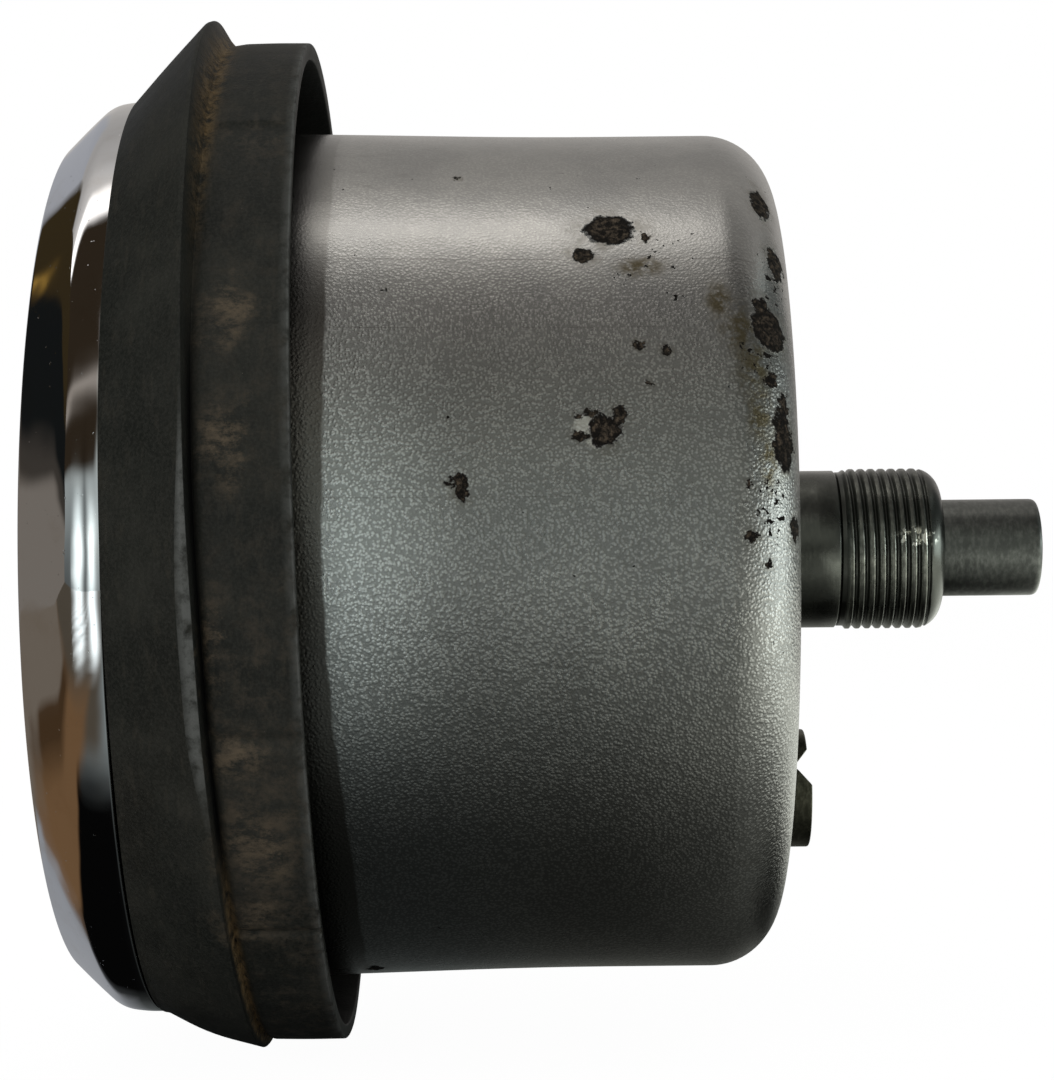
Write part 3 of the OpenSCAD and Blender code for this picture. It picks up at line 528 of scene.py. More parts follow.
def dark_steel(name, low, high, rough, lines=0.012, marked=False):
    """Blackened steel, paler where it is worn. A marked mesh says where it is worn, where a painted
    highlight lies on it, and where it is chipped.
    """
    f = Finish(name, low, 1.0, rough)
    wear = f.fade(f.noise(1.0, 4, 0.6, stretch=(1, 0.6, 1)), 0.35, 0.75)
    if marked:
        wear = f.times(f.plus(f.times(wear, 0.6), 0.25), f.mark("worn_and_lit"))
    cloud = f.fade(f.noise(6, 5, 0.6, stretch=(1, 1.6, 1)), 0.3, 0.75)
    base = f.blend(wear, f.blend(cloud, low, tuple(0.6 * v for v in low)), high)
    if marked:
        chipped = f.times(f.fade(f.noise(0.8, 3, 0.6), 0.51, 0.55), f.mark("chips"))
        base = f.blend(chipped, base, (0.85, 0.84, 0.76))
    f.feed("Base Color", base)
    f.feed("Roughness", f.fade(cloud, 0, 1, rough - 0.05, rough + 0.06))
    turned_lines = f.relief(f.noise(0.35, 2, 0.5, stretch=(40, 1, 40)), lines)
    f.relief(f.noise(0.8, 4, 0.6), 0.015, turned_lines)
    return f.material


def metal(name, low, high, rough, stretch=(8, 1, 8), relief=0.012):
    """A clean machined metal with tool marks round the axis and light variation of tone."""
    f = Finish(name, low, 1.0, rough)
    f.feed("Base Color", f.blend(f.fade(f.noise(6, 4, 0.6), 0.3, 0.7), low, high))
    f.feed("Roughness", f.fade(f.noise(2.5, 4), 0.3, 0.7, rough - 0.06, rough + 0.08))
    f.relief(f.noise(0.5, 3, 0.5, stretch=stretch), relief)
    return f.material


def paint(name, colour, other, rough, grain=0.25, relief=0.0006, shine=0.3):
    """A coat of paint with a fine skin and slight cloudiness."""
    f = Finish(name, colour, 0.0, rough, Specular_IOR_Level=shine)
    f.feed("Base Color", f.blend(f.fade(f.noise(9, 4), 0.35, 0.7), colour, other))
    f.feed("Roughness", f.fade(f.noise(3, 3), 0.3, 0.7, rough - 0.05, rough + 0.07))
    f.relief(f.noise(grain, 2), relief)
    return f.material


def clear_glass():
    """Clear window glass with a trace of dust."""
    f = Finish("clear_glass", (0.98, 1.0, 0.99), 0.0, 0.0, Transmission_Weight=1.0, IOR=1.5)
    f.feed("Roughness", f.fade(f.noise(12, 5, 0.7), 0.6, 0.85, 0.0, 0.08))
    return f.material


def jewel_stone():
    """Dark red synthetic stone."""
    f = Finish("jewel_stone", (0.35, 0.03, 0.05), 0.0, 0.1, Coat_Weight=0.5)
    f.feed("Base Color", f.blend(f.noise(0.6), (0.28, 0.02, 0.04), (0.42, 0.05, 0.07)))
    return f.material


# Can

def can_shell():
    """The drawn can: bent sheet carried round the axis, with the lamp's and the screws' holes."""
    flare_start, flare_end, mouth_y, flange_r = 40.0, 8.0, -12.0, 61.4
    outer = np.vstack([
        [[BOSS_HOLE_R, CAN_BACK]],
        arc(CAN_R - CORNER_R, CAN_BACK - CORNER_R, CORNER_R, 90, 0, 20),
        [[CAN_R, flare_start], [MOUTH_R, flare_end], [MOUTH_R, mouth_y], [flange_r, mouth_y]],
    ])
    line = sheet(outer, CAN_WALL)
    cuts = np.zeros(len(line))
    cuts[np.isin(np.round(line[:, 1], 2), (flare_start, flare_end))] = 9.0
    cuts[[0, len(outer) - 1, len(outer), -1]] = 0.15
    line = dense(rounded(line, cuts, 4), 4.0)
    mesh = skin("can_shell", carried(line, full_turn(360)))
    holes = [(0.0, LAMP_AXIS, LAMP_HOLE_R)]
    for clock in (60, 180, 300):
        a = math.radians(clock)
        holes.append((SCREW_CIRCLE_R * math.sin(a), SCREW_CIRCLE_R * math.cos(a), SCREW_HOLE_R))
    return pierced(mesh, holes)


def pierced(mesh, holes):
    """Cuts round holes along Y through the can's back, given as x, z and radius."""
    cutter = bmesh.new()
    middle_y, depth = 71.6, 3.0
    for x, z, radius in holes:
        place = Matrix.Translation((x * MM, middle_y * MM, z * MM))
        bmesh.ops.create_cone(cutter, cap_ends=True, segments=64, radius1=radius * MM,
                              radius2=radius * MM, depth=depth * MM,
                              matrix=place @ Matrix.Rotation(math.pi / 2, 4, "X"))
    tool_mesh = bpy.data.meshes.new("hole_cutter")
    cutter.to_mesh(tool_mesh)
    cutter.free()
    tool = placed("hole_cutter", tool_mesh)
    blank = placed("can_blank", mesh)
    cut = blank.modifiers.new("holes", "BOOLEAN")
    cut.operation = "DIFFERENCE"
    cut.solver = "EXACT"
    cut.object = tool
    result = baked(blank)
    for o in (tool, blank):
        bpy.data.objects.remove(o)
    return finished(result)


# Bezel

def bezel_ring():
    """The pressed bezel: crimp, side band, a facet with a slight belly, rolled crest and lip."""
    crimp_r, roll = 58.95, 1.3
    lean = math.degrees(math.atan2(5.3, 5.7))
    crest_r = 56.8 - roll * math.cos(math.radians(lean))
    crest_y = BEZEL_FRONT + roll
    outer = np.vstack([
        [[crimp_r, BEZEL_REAR], [BEZEL_R, BEZEL_REAR], [BEZEL_R, -13.2], [62.1, -16.1]],
        [[59.55, -18.85]],
        arc(crest_r, crest_y, roll, -lean, -129, 14),
        [[WINDOW_R, BEZEL_FRONT + 2.8]],
    ])
    outer[4] += (0.05, -0.05)
    line = sheet(outer, 0.8)
    cuts = np.zeros(len(line))
    cuts[[1, 2, 3, 4]] = (0.3, 1.2, 1.3, 2.0)
    cuts[[-2, -3, -4, -5]] = (0.2, 0.8, 0.9, 2.0)
    cuts[[0, -1]] = 0.15
    middle = len(outer)
    cuts[[middle - 1, middle]] = 0.3
    line = dense(rounded(line, cuts, 7), 1.5)
    return skin("bezel_ring", carried(line, full_turn(480)), sharp=50.0)


# Rubber panel ring

def ring_clocks():
    """Clock angles round the ring, even but for a few more at the creases of its skirt."""
    creases = np.array([36.0, 39.4, 108.5, 133.8])
    near = (creases[:, None] + np.array([-0.5, -0.25, -0.1, 0.1, 0.25, 0.5])).ravel()
    return np.unique(np.round(np.concatenate([full_turn(600), near, 360 - near]), 3))


def rubber_ring():
    """The ring's section for each clock angle, as in the CAD but with rounded corners.

    With up = cos a, the crest's radius is 70.35 + 2.9 up and its station -0.5 - 2.7 up, the
    skirt's radius 67.9 + 1.7 up and its rear edge 11.8 - 1.8 up. Sines of the angle, blocks and
    folds are added to them. Marks give where dirt, dust and wear lie, and where shade is painted
    deep in the groove.
    """
    tip_r, pocket_r, waist_r, seat_r = 62.8, 62.65, 60.45, 58.25
    pocket_y, hollow_y, seat_y = -10.9, 0.5, 3.0
    clocks = ring_clocks()
    a = np.radians(clocks)[:, None]
    up = np.cos(a)
    side = np.degrees(np.arccos(np.clip(up, -1, 1)))
    one = np.ones_like(a)
    wander = 0.12 * np.sin(3 * a + 0.6) + 0.07 * np.sin(7 * a + 2.1) + 0.04 * np.sin(16 * a)
    tip_y = -11.5 - 1.45 * up
    lip_y = -0.5 - 2.7 * up + 0.6 * wander
    crest = 70.4 + 2.9 * up - 0.05 + 0.1 * wander
    block = 0.2 * smooth((37.0 - side) / 4.5) + 0.3 * smooth((39.8 - side) / 0.7)
    block = block - 0.22 * hump((side - 40.2) / 0.6)
    foot_block = 0.22 * step(side, 133.8, 0.4)
    fold = -0.5 * hump((side - 108.5) / 0.75) - 0.35 * hump((side - 133.4) / 0.45)
    fold = fold + 0.15 * hump((side - 110.6) / 1.2)
    outer = 67.9 + 1.7 * up + block + foot_block + fold + 0.3 * wander
    inner = 66.2 + 1.7 * up
    end_y = 11.8 - 1.8 * up + 0.3 * wander
    drop_l = 0.75 + 3.0 * np.maximum(0, up) ** 2
    drop_y = lip_y + 0.45
    land = 0.35 + 1.35 * step(side, 74, 22) * step(side, 122, -16)
    rise = 0.47 + 0.14 * np.maximum(0, -up)
    groove = 0.35 + 0.25 * (1 - up)
    corners = [
        (tip_r * one, tip_y, 0.25),
        (tip_r + rise * (crest - tip_r), tip_y + 0.45 * (lip_y - tip_y), 3.5),
        (crest - 0.1 - 0.12 * land, drop_y - 0.3 - land, 0.12),
        (crest, drop_y - 0.12, 0.1),
        (outer + 0.32 * (crest - outer), drop_y + 0.3 * drop_l, 0.3),
        (outer - groove, drop_y + 0.6 * drop_l, 0.2),
        (outer - 0.04, drop_y + 0.55 + drop_l, 0.4),
        (outer + 0.05, 0.5 * (drop_y + drop_l + end_y), 2.0),
        (outer, end_y - 0.02, 0.32),
        (inner, end_y, 0.25),
        (inner - 0.2, hollow_y * one, 1.0),
        (waist_r * one, hollow_y * one, 0.6),
        (waist_r * one, seat_y * one, 0.5),
        (seat_r * one, seat_y * one, 0.3),
        (seat_r * one, pocket_y * one, 0.1),
        (pocket_r * one, pocket_y * one, 0.1),
    ]
    line = np.stack([np.hstack([r, y]) for r, y, _ in corners], 1)
    line = dense(rounded(line, [cut for _, _, cut in corners], 5), 1.2)
    r, y = line[..., 0], line[..., 1]
    outside = smooth((r - inner - 0.5) / 0.6)
    after = y - drop_y
    upper = 0.7 * step(side, 64, -30) + 0.02
    lower = step(side, 116, 22)
    lodged = hump((after - 0.62 * drop_l) / (0.25 + 0.3 * drop_l)) * smooth(after / 0.2)
    on_skirt = step(after, 0.8, 1.0) * outside
    dusty = 0.25 + 0.75 * hump((side - 41.5) / 2.5) + 0.35 * step(side, 84, 20)
    on_land = smooth((after + 0.25 + land) / 0.15) * smooth((-0.1 - after) / 0.1) * outside
    land_share = step(side, 72, 12) * step(side, 120, -12)
    worn_edge = hump((y - end_y + 0.15) / 0.22) * smooth((r - outer + 0.5) / 0.2)
    in_groove = hump((after - 0.5 * drop_l) / 0.35) * outside
    marks = {
        "grime": outside * lodged * np.maximum(upper, lower),
        "dust": np.clip(on_skirt * dusty, 0, 1),
        "rim": np.clip(on_land * land_share + worn_edge, 0, 1),
        "shade": in_groove * (step(side, 62, 12) * step(side, 128, -10)),
    }
    return skin("rubber_ring", carried(line, clocks), marks, sharp=55.0)


# Drive boss, spigot and lamp tube

def union_boss():
    """The boss with its helical thread.

    At station y and turn share t, the phase is the fraction of (y - start)/pitch - t. The crest
    takes 0.32 of it and each flank 0.3, and the end's rounding of radius end_r caps the thread.
    Marks give where the crests are worn, with a painted highlight round two sides, and where they
    are chipped.
    """
    pitch, crest_r, root_r, end_r = 1.411, 11.11, 10.68, 3.4
    turns, steps = 200, 200
    threaded = np.linspace(THREAD_START - 0.5, BOSS_END, steps)
    flange = [[5.0, 67.7], [20.4, 67.7], [20.4, 70.7], [10.9, 70.7], [10.9, 80.0], [5.0, 80.0]]
    kept = 4
    front = rounded(flange, [0, 0.3, 0.3, 0.1, 0, 0], 3)[: kept * 4]
    shoulder = np.array([[10.9, 74.0], [10.9, 78.0], [10.9, 81.05], [10.82, 81.15], [10.45, 81.4]])
    bore = np.array([[6.2, BOSS_END], [6.1, BOSS_END - 0.2], [6.1, 83.7], [5.0, 83.7]])
    clocks = full_turn(turns)
    t = (clocks / 360)[:, None]
    y = threaded[None, :]
    phase = np.mod((y - THREAD_START) / pitch - t, 1.0)
    height = np.clip(np.minimum((phase + 0.3) / 0.3, (0.62 - phase) / 0.3), 0, 1)
    height = np.maximum(height, np.clip((phase - 0.7) / 0.3, 0, 1))
    height = smooth(height) * 0.35 + height * 0.65
    height = height * smooth((y - THREAD_START + 0.1) / 0.9)
    over = np.clip(y - (BOSS_END - end_r), 0, end_r)
    cap = crest_r - end_r + np.sqrt(np.maximum(end_r**2 - over**2, 0))
    r = np.minimum(root_r + (crest_r - root_r) * height, cap)
    rows = np.concatenate([
        np.broadcast_to(np.vstack([front, shoulder]), (turns, len(front) + len(shoulder), 2)),
        np.stack([r, np.broadcast_to(y, r.shape)], -1),
        np.broadcast_to(bore, (turns, len(bore), 2)),
    ], axis=1)
    before = len(front) + len(shoulder)
    worn_and_lit = np.zeros(rows.shape[:2])
    # Crest wear everywhere, made brighter round two sides as a painted highlight
    crest_wear_and_highlight = 0.4 + 0.6 * hump((clocks - 99) / 22) + 0.4 * hump((clocks - 262) / 30)
    worn_and_lit[:, before : before + steps] = smooth((r - root_r - 0.15) / 0.25) * crest_wear_and_highlight[:, None]
    worn_and_lit[:, before - 5 : before] = 0.12
    chips = np.zeros(rows.shape[:2])
    struck = hump((clocks[:, None] - 82) / 8) * hump((y - 91.5) / 2.8)
    chips[:, before : before + steps] = smooth(3 * struck - 0.8)
    return skin("union_boss", carried(rows, clocks), {"worn_and_lit": worn_and_lit, "chips": chips}, sharp=60.0)


def spigot():
    """The plain tube behind the thread, with its rounded end and a slightly broken bore edge."""
    bore, neck, outer, start = 5.2, 6.1, 6.7, 83.7
    corners = [[bore, start], [neck, start], [neck, BOSS_END], [outer, BOSS_END],
               [outer, SPIGOT_END], [bore, SPIGOT_END]]
    line = rounded(corners, [0, 0, 0, 0.1, 1.0, 0.2], 8)
    return skin("spigot", carried(dense(line, 3), full_turn(144)))


def lamp_tube():
    """The lamp holder's tube about its own axis, its rim cut back by a V notch that runs along X.

    The rim is set back by depth (1 - |z - middle| / half) in the notch, and by drop above it. The
    set-back fades to nothing at station rest.
    """
    inner, outer, flange, end = 7.25, 8.15, 8.95, 77.2
    corners = [[inner, 62.2], [outer, 62.2], [outer, 70.4], [flange, 70.4], [flange, 71.2],
               [outer, 71.2], [outer, end], [inner, end]]
    line = rounded(corners, [0.1, 0.2, 0.05, 0.2, 0.1, 0.05, 0.35, 0.2], 5)
    grid = carried(dense(line, 0.8), full_turn(240))
    z = grid[..., 2]
    middle, half, depth, drop, rest = 3.4, 2.33, 2.1, 0.45, 72.6
    back = depth * np.clip(1 - np.abs(z - middle) / half, 0, 1) + drop * smooth((z - 3.0) / 1.0)
    share = np.clip((grid[..., 1] - rest) / (end - rest), 0, 1)
    grid[..., 1] -= back * share
    grid[..., 2] += LAMP_AXIS
    return skin("lamp_tube", grid)


# Dial

def dial_marks():
    """Graduations as thin blocks: 41 of them over 270 degrees, longer and wider at each fifth."""
    count, outer, thick = 41, 48.6, 0.05
    clocks = np.radians(np.linspace(-135, 135, count))
    long = np.arange(count) % 5 == 0
    inner = np.where(long, 42.6, 45.6)
    half = np.where(long, 0.65, 0.3)
    along = np.stack([np.sin(clocks), np.cos(clocks)], -1)
    across = np.stack([np.cos(clocks), -np.sin(clocks)], -1)
    ends = np.stack([inner, np.full(count, outer)], -1)
    flat = []
    for end, side in ((0, -1), (1, -1), (1, 1), (0, 1)):
        flat.append(along * ends[:, end : end + 1] + across * (side * half)[:, None])
    flat = np.stack(flat, 1)
    front = np.stack([flat[..., 0], np.full(flat.shape[:2], DIAL_FACE - thick), flat[..., 1]], -1)
    points = np.concatenate([front, front + (0, thick, 0)], 1)
    block = np.array([
        [0, 1, 2, 3], [4, 7, 6, 5], [0, 4, 5, 1], [1, 5, 6, 2], [2, 6, 7, 3], [3, 7, 4, 0],
    ])
    faces = (block[None] + 8 * np.arange(count)[:, None, None]).reshape(-1, 4)
    return outward(built("dial_marks", points, faces.tolist()))


def dial_numbers():
    """The numbers 0 to 80 by tens, set upright on a circle."""
    circle_r, count, half_thick = 35.5, 9, 0.025
    whole = bmesh.new()
    for k in range(count):
        words = bpy.data.curves.new("number", "FONT")
        words.body = str(10 * k)
        words.size = 8.4 * MM
        words.extrude = half_thick * MM
        words.offset = 0.08 * MM
        words.align_x = words.align_y = "CENTER"
        words.resolution_u = 6
        holder = placed("number", words)
        bpy.context.view_layer.update()
        flat = baked(holder)
        a = math.radians(-135 + 270 * k / (count - 1))
        x, y, z = circle_r * math.sin(a), DIAL_FACE - half_thick, circle_r * math.cos(a)
        place = Matrix.Translation((x * MM, y * MM, z * MM))
        flat.transform(place @ Matrix.Rotation(math.pi / 2, 4, "X"))
        whole.from_mesh(flat)
        bpy.data.objects.remove(holder)
    bmesh.ops.remove_doubles(whole, verts=whole.verts, dist=1e-6)
    mesh = bpy.data.meshes.new("dial_numbers")
    whole.to_mesh(mesh)
    whole.free()
    return mesh


def dial_arc(start, end):
    """A thin raised band on the dial between two clock angles."""
    inner, outer, front = 49.0, 50.6, DIAL_FACE - 0.03
    line = np.array([[inner, front], [outer, front], [outer, DIAL_FACE], [inner, DIAL_FACE]])
    grid = carried(line, np.linspace(start, end, 60))
    rows, count = grid.shape[:2]
    caps = [[0, 1, 2, 3], [(rows - 1) * count + k for k in (3, 2, 1, 0)]]
    return outward(built("dial_arc", grid, cells(rows, count, False).tolist() + caps))


def hub_cap():
    """The pointer's domed cap: a turned button with a shallow crown."""
    corners = [[0.0, -13.3], [3.2, -13.2], [4.9, -12.75], [5.5, -11.9], [5.5, POINTER_FRONT],
               [0.8, POINTER_FRONT], [0.8, -12.1], [0.0, -12.1]]
    line = rounded(corners, [0, 1.4, 0.7, 0.4, 0.05, 0, 0, 0], 6)
    return skin("hub_cap", carried(line, full_turn(96)), sharp=50.0)


# Pieces and finishes

ZINC = zinc_plate()
CHROME = chrome_plate()
RUBBER = black_rubber()
GASKET = plain_rubber()
BOSS_STEEL = dark_steel("boss_steel", (0.10, 0.105, 0.095), (0.42, 0.43, 0.38), 0.28, marked=True)
SPIGOT_STEEL = dark_steel("spigot_steel", (0.15, 0.158, 0.148), (0.20, 0.208, 0.195), 0.36, 0.006)
LAMP_METAL = dark_steel("lamp_metal", (0.085, 0.085, 0.062), (0.15, 0.148, 0.11), 0.45)
BRIGHT_STEEL = metal("bright_steel", (0.50, 0.51, 0.52), (0.58, 0.585, 0.59), 0.25)
SCREW_STEEL = metal("screw_steel", (0.13, 0.13, 0.125), (0.24, 0.24, 0.23), 0.35, (1, 1, 1), 0.02)
SPRING_STEEL = metal("spring_steel", (0.22, 0.26, 0.36), (0.32, 0.36, 0.46), 0.25)
BRASS = metal("movement_brass", (0.62, 0.47, 0.20), (0.72, 0.56, 0.27), 0.3)
BRONZE = metal("bearing_bronze", (0.50, 0.31, 0.16), (0.60, 0.40, 0.22), 0.4)
MAGNET_IRON = metal("magnet_iron", (0.16, 0.155, 0.15), (0.24, 0.235, 0.22), 0.5, (1, 1, 1), 0.03)
ALUMINIUM = metal("cup_aluminium", (0.72, 0.73, 0.74), (0.80, 0.80, 0.81), 0.3)
DIAL_BLACK = paint("dial_black", (0.010, 0.010, 0.010), (0.015, 0.015, 0.014), 0.55, shine=0.1)
HOOD_BLACK = paint("hood_black", (0.014, 0.014, 0.014), (0.022, 0.022, 0.021), 0.55, shine=0.15)
DIAL_WHITE = paint("dial_white", (0.78, 0.77, 0.70), (0.70, 0.68, 0.60), 0.5)
DIAL_RED = paint("dial_red", (0.55, 0.03, 0.02), (0.45, 0.03, 0.02), 0.5)
POINTER_WHITE = paint("pointer_white", (0.80, 0.78, 0.72), (0.72, 0.70, 0.62), 0.4)
CAP_BLACK = paint("cap_black", (0.015, 0.015, 0.015), (0.022, 0.022, 0.022), 0.25, shine=0.5)
FIBRE = paint("red_fibre", (0.20, 0.06, 0.035), (0.28, 0.09, 0.05), 0.7, 0.6, 0.04)
GLASS = clear_glass()
STONE = jewel_stone()

piece("can_shell", can_shell(), ZINC, stands_for=["case_can"])
piece("bezel_ring", bezel_ring(), CHROME, stands_for=["bezel"])
piece("rubber_ring", rubber_ring(), RUBBER, stands_for=["panel_ring"])
piece("union_boss", union_boss(), BOSS_STEEL, stands_for=["drive_boss"])
piece("spigot", spigot(), SPIGOT_STEEL, stands_for=["spigot_tube"])
piece("lamp_tube", lamp_tube(), LAMP_METAL, stands_for=["lamp_ferrule"])
piece("dial_marks", dial_marks(), DIAL_WHITE)
piece("dial_numbers", dial_numbers(), DIAL_WHITE)
piece("dial_arc", dial_arc(68, 135), DIAL_RED)
piece("hub_cap", hub_cap(), CAP_BLACK, "pointer_assembly", ["pointer_cap"])

# CAD nodes that keep their shape, by finish
KEPT = (
    (GLASS, ["glass"]),
    (GASKET, ["glass_gasket"]),
    (HOOD_BLACK, ["dial_hood"]),
    (DIAL_BLACK, ["dial_plate"]),
    (POINTER_WHITE, ["pointer"]),
    (FIBRE, ["boss_gasket"]),
    (SPRING_STEEL, ["hairspring"]),
    (MAGNET_IRON, ["magnet"]),
    (ALUMINIUM, ["drag_cup"]),
    (STONE, ["front_jewel", "nose_jewel"]),
    (SCREW_STEEL, ["case_screws", "circlip"]),
    (BRONZE, ["front_bush", "rear_bush"]),
    (BRIGHT_STEEL, ["dial_screws", "stop_pin", "pointer_staff", "thrust_washer", "flux_cup",
                    "regulator_arm", "drive_spindle"]),
    (BRASS, ["dial_posts", "front_plate", "rear_plate", "pillars", "hairspring_stud",
             "magnet_hub", "hairspring_collet", "cup_hub"]),
)
for kept_finish, node_names in KEPT:
    for node_name in node_names:
        node_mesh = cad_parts[node_name].data
        node_mesh.materials.clear()
        node_mesh.materials.append(kept_finish)
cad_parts["glass"].visible_shadow = False

# Floor, backdrop and light

FLOOR_Z = -67.6


def shown_white(tree):
    """1 for rays from the camera, and for mirror and glass rays, so that these see plain white."""
    path = node(tree, "ShaderNodeLightPath")
    share = path.outputs["Is Camera Ray"]
    for other in ("Is Glossy Ray", "Is Transmission Ray"):
        both = {0: share, 1: path.outputs[other]}
        share = node(tree, "ShaderNodeMath", both, operation="MAXIMUM").outputs[0]
    return share


def bare(name):
    """A material with an empty node tree, and the tree."""
    material = bpy.data.materials.new(name)
    material.use_nodes = True
    material.node_tree.nodes.clear()
    return material, material.node_tree


def floor():
    """A plain pale floor: white to the camera but for a weak share that takes the shadow."""
    half = 4000
    shadow_share = 0.05
    # With this strength the floor renders as white as the world where no shadow falls
    glow = 1.027
    corners = [(-half, -half), (half, -half), (half, half), (-half, half)]
    mesh = built("floor", [(x, y, FLOOR_Z) for x, y in corners], [(0, 1, 2, 3)])
    material, tree = bare("pale_floor")
    matt = node(tree, "ShaderNodeBsdfDiffuse", {"Color": (0.8, 0.8, 0.8)})
    white = node(tree, "ShaderNodeEmission", {"Strength": glow})
    lit = {0: shown_white(tree), 1: 1 - shadow_share}
    share = node(tree, "ShaderNodeMath", lit, operation="MULTIPLY")
    parts = {0: share.outputs[0], 1: matt.outputs[0], 2: white.outputs[0]}
    both = node(tree, "ShaderNodeMixShader", parts)
    node(tree, "ShaderNodeOutputMaterial", {"Surface": both.outputs[0]})
    mesh.materials.append(material)
    obj = placed("floor", mesh)


def background():
    """A world that is white to the camera, mirrors and glass, and a soft grey light otherwise."""
    grey, white = 0.55, 1.0
    world = bpy.data.worlds.new("background")
    bpy.context.scene.world = world
    world.use_nodes = True
    tree = world.node_tree
    sky = tree.nodes["Background"]
    strength = {"Value": shown_white(tree), "To Min": grey, "To Max": white}
    share = node(tree, "ShaderNodeMapRange", strength)
    put(tree, sky.inputs["Strength"], share.outputs["Result"])
    put(tree, sky.inputs["Color"], (1, 1, 1))


def glowing_card(name, grid, colours):
    """A studio card that only mirrors see: a grid of points in mm, each with its colour."""
    rows, count = grid.shape[:2]
    mesh = built(name, grid, cells(rows, count, False, False).tolist())
    layer = mesh.attributes.new("glow", "FLOAT_COLOR", "POINT")
    rgba = np.ones((rows, count, 4), np.float32)
    rgba[..., :3] = colours
    layer.data.foreach_set("color", rgba.ravel())
    material, tree = bare(name)
    mark = node(tree, "ShaderNodeAttribute", attribute_name="glow")
    glow = node(tree, "ShaderNodeEmission", {"Color": mark.outputs["Color"]})
    node(tree, "ShaderNodeOutputMaterial", {"Surface": glow.outputs[0]})
    mesh.materials.append(material)
    obj = placed(name, mesh)
    obj.visible_camera = obj.visible_diffuse = False
    obj.visible_shadow = obj.visible_transmission = False


# Brightness of the arch at the can, by elevation seen from the axis: the camera's side first
ARCH_STOPS = (
    (-8, 0.10), (0, 0.15), (10, 0.29), (20, 0.41), (30, 0.40), (40, 0.52), (47, 0.50), (53, 0.36),
    (60, 0.25), (66, 0.25), (73, 0.32), (79, 0.55), (85, 0.85), (88, 2.25), (97, 1.7), (100, 0.7),
    (114, 0.48), (125, 0.40), (138, 0.42), (160, 0.55), (172, 0.5), (188, 0.4),
)
# Brightness of the card over the floor, by distance from the axis on the camera's side
GROUND_STOPS = (
    (-620, 0.45), (-200, 0.35), (-60, 0.26), (-20, 0.2), (-7, 0.09), (13, 0.03), (43, 0.03),
    (57, 0.04), (73, 0.058), (92, 0.105), (105, 0.115), (140, 0.115), (202, 0.11), (376, 0.10),
    (620, 0.10),
)
CARD_REACH = 620
WARM = np.array([1.0, 0.955, 0.91])
PLAIN = np.array([0.975, 1.0, 0.91])
COOL = np.array([0.91, 1.0, 0.98])
BROWN = np.array([0.17, 0.095, 0.045])
DEEP_BROWN = (0.036, 0.025, 0.011)
TAN = (0.17, 0.14, 0.11)
BLUE_GREY = (0.385, 0.392, 0.42)


def toward(colours, *layers):
    """Colours moved towards others in turn, each by its share."""
    for other, share in layers:
        colours = colours + (np.asarray(other) - colours) * share[..., None]
    return colours


def arch_card():
    """An arch about the axis, with a bright overhead strip.

    Past the bezel it is dark and brown but for two windows low down, a pale band and, on the far
    side, a blue-grey patch. Level with the ring it is brighter low down, and behind the can it is
    darker high up.
    """
    stops = np.array(ARCH_STOPS, float)
    rise = np.linspace(-6.3, 186.3, 193)[:, None]
    ys = np.concatenate([np.linspace(-900, -340, 15), np.linspace(-330, 640, 131)])[None, :]
    a = np.radians(rise)
    grid = np.stack(np.broadcast_arrays(CARD_REACH * np.cos(a), ys, CARD_REACH * np.sin(a)), -1)
    level = np.interp(rise, stops[:, 0], stops[:, 1])
    level = level * (1 + 2.0 * hump((ys + 14) / 36) * hump((rise - 4) / 22))
    level = level * (1 - 0.7 * step(ys, 90, 140) * step(rise, 20, 22) * step(rise, 112, -20))
    level = level * (1 - 0.45 * step(ys, 60, 60) * hump((rise - 92) / 14))
    high = np.broadcast_to(step(rise, 36, 16), level.shape)
    near = step(ys, 60, -60) * step(rise, 40, -30)
    tint = toward(PLAIN * np.ones((*level.shape, 3)), (WARM, high), (COOL, near))
    dark = step(ys, -45, -50) * step(rise, 16, 6) * step(rise, 91, -6)
    pale_band = 0.3 * hump((rise - 41) / 3.5)[..., None] * np.array([1, 0.9, 0.8])
    dim = np.array([0.030, 0.021, 0.013]) + pale_band
    near_window = 2.1 * hump((ys + 112) / 46) * hump((rise - 1) / 9)
    windows = near_window + 1.9 * hump((ys + 258) / 38) * hump((rise - 1) / 10)
    between = hump((ys + 185) / 22) * hump(rise / 20)
    colours = toward(level[..., None] * tint, (dim, dark))
    colours = colours * (1 - 0.75 * between[..., None]) + windows[..., None] * COOL
    colours = toward(
        colours,
        (BLUE_GREY, step(rise, 130, 8) * step(ys, -150, -60)),
        (DEEP_BROWN, step(rise, 118, 8) * step(ys, -425, -16)),
    )
    glowing_card("arch_card", grid, colours)


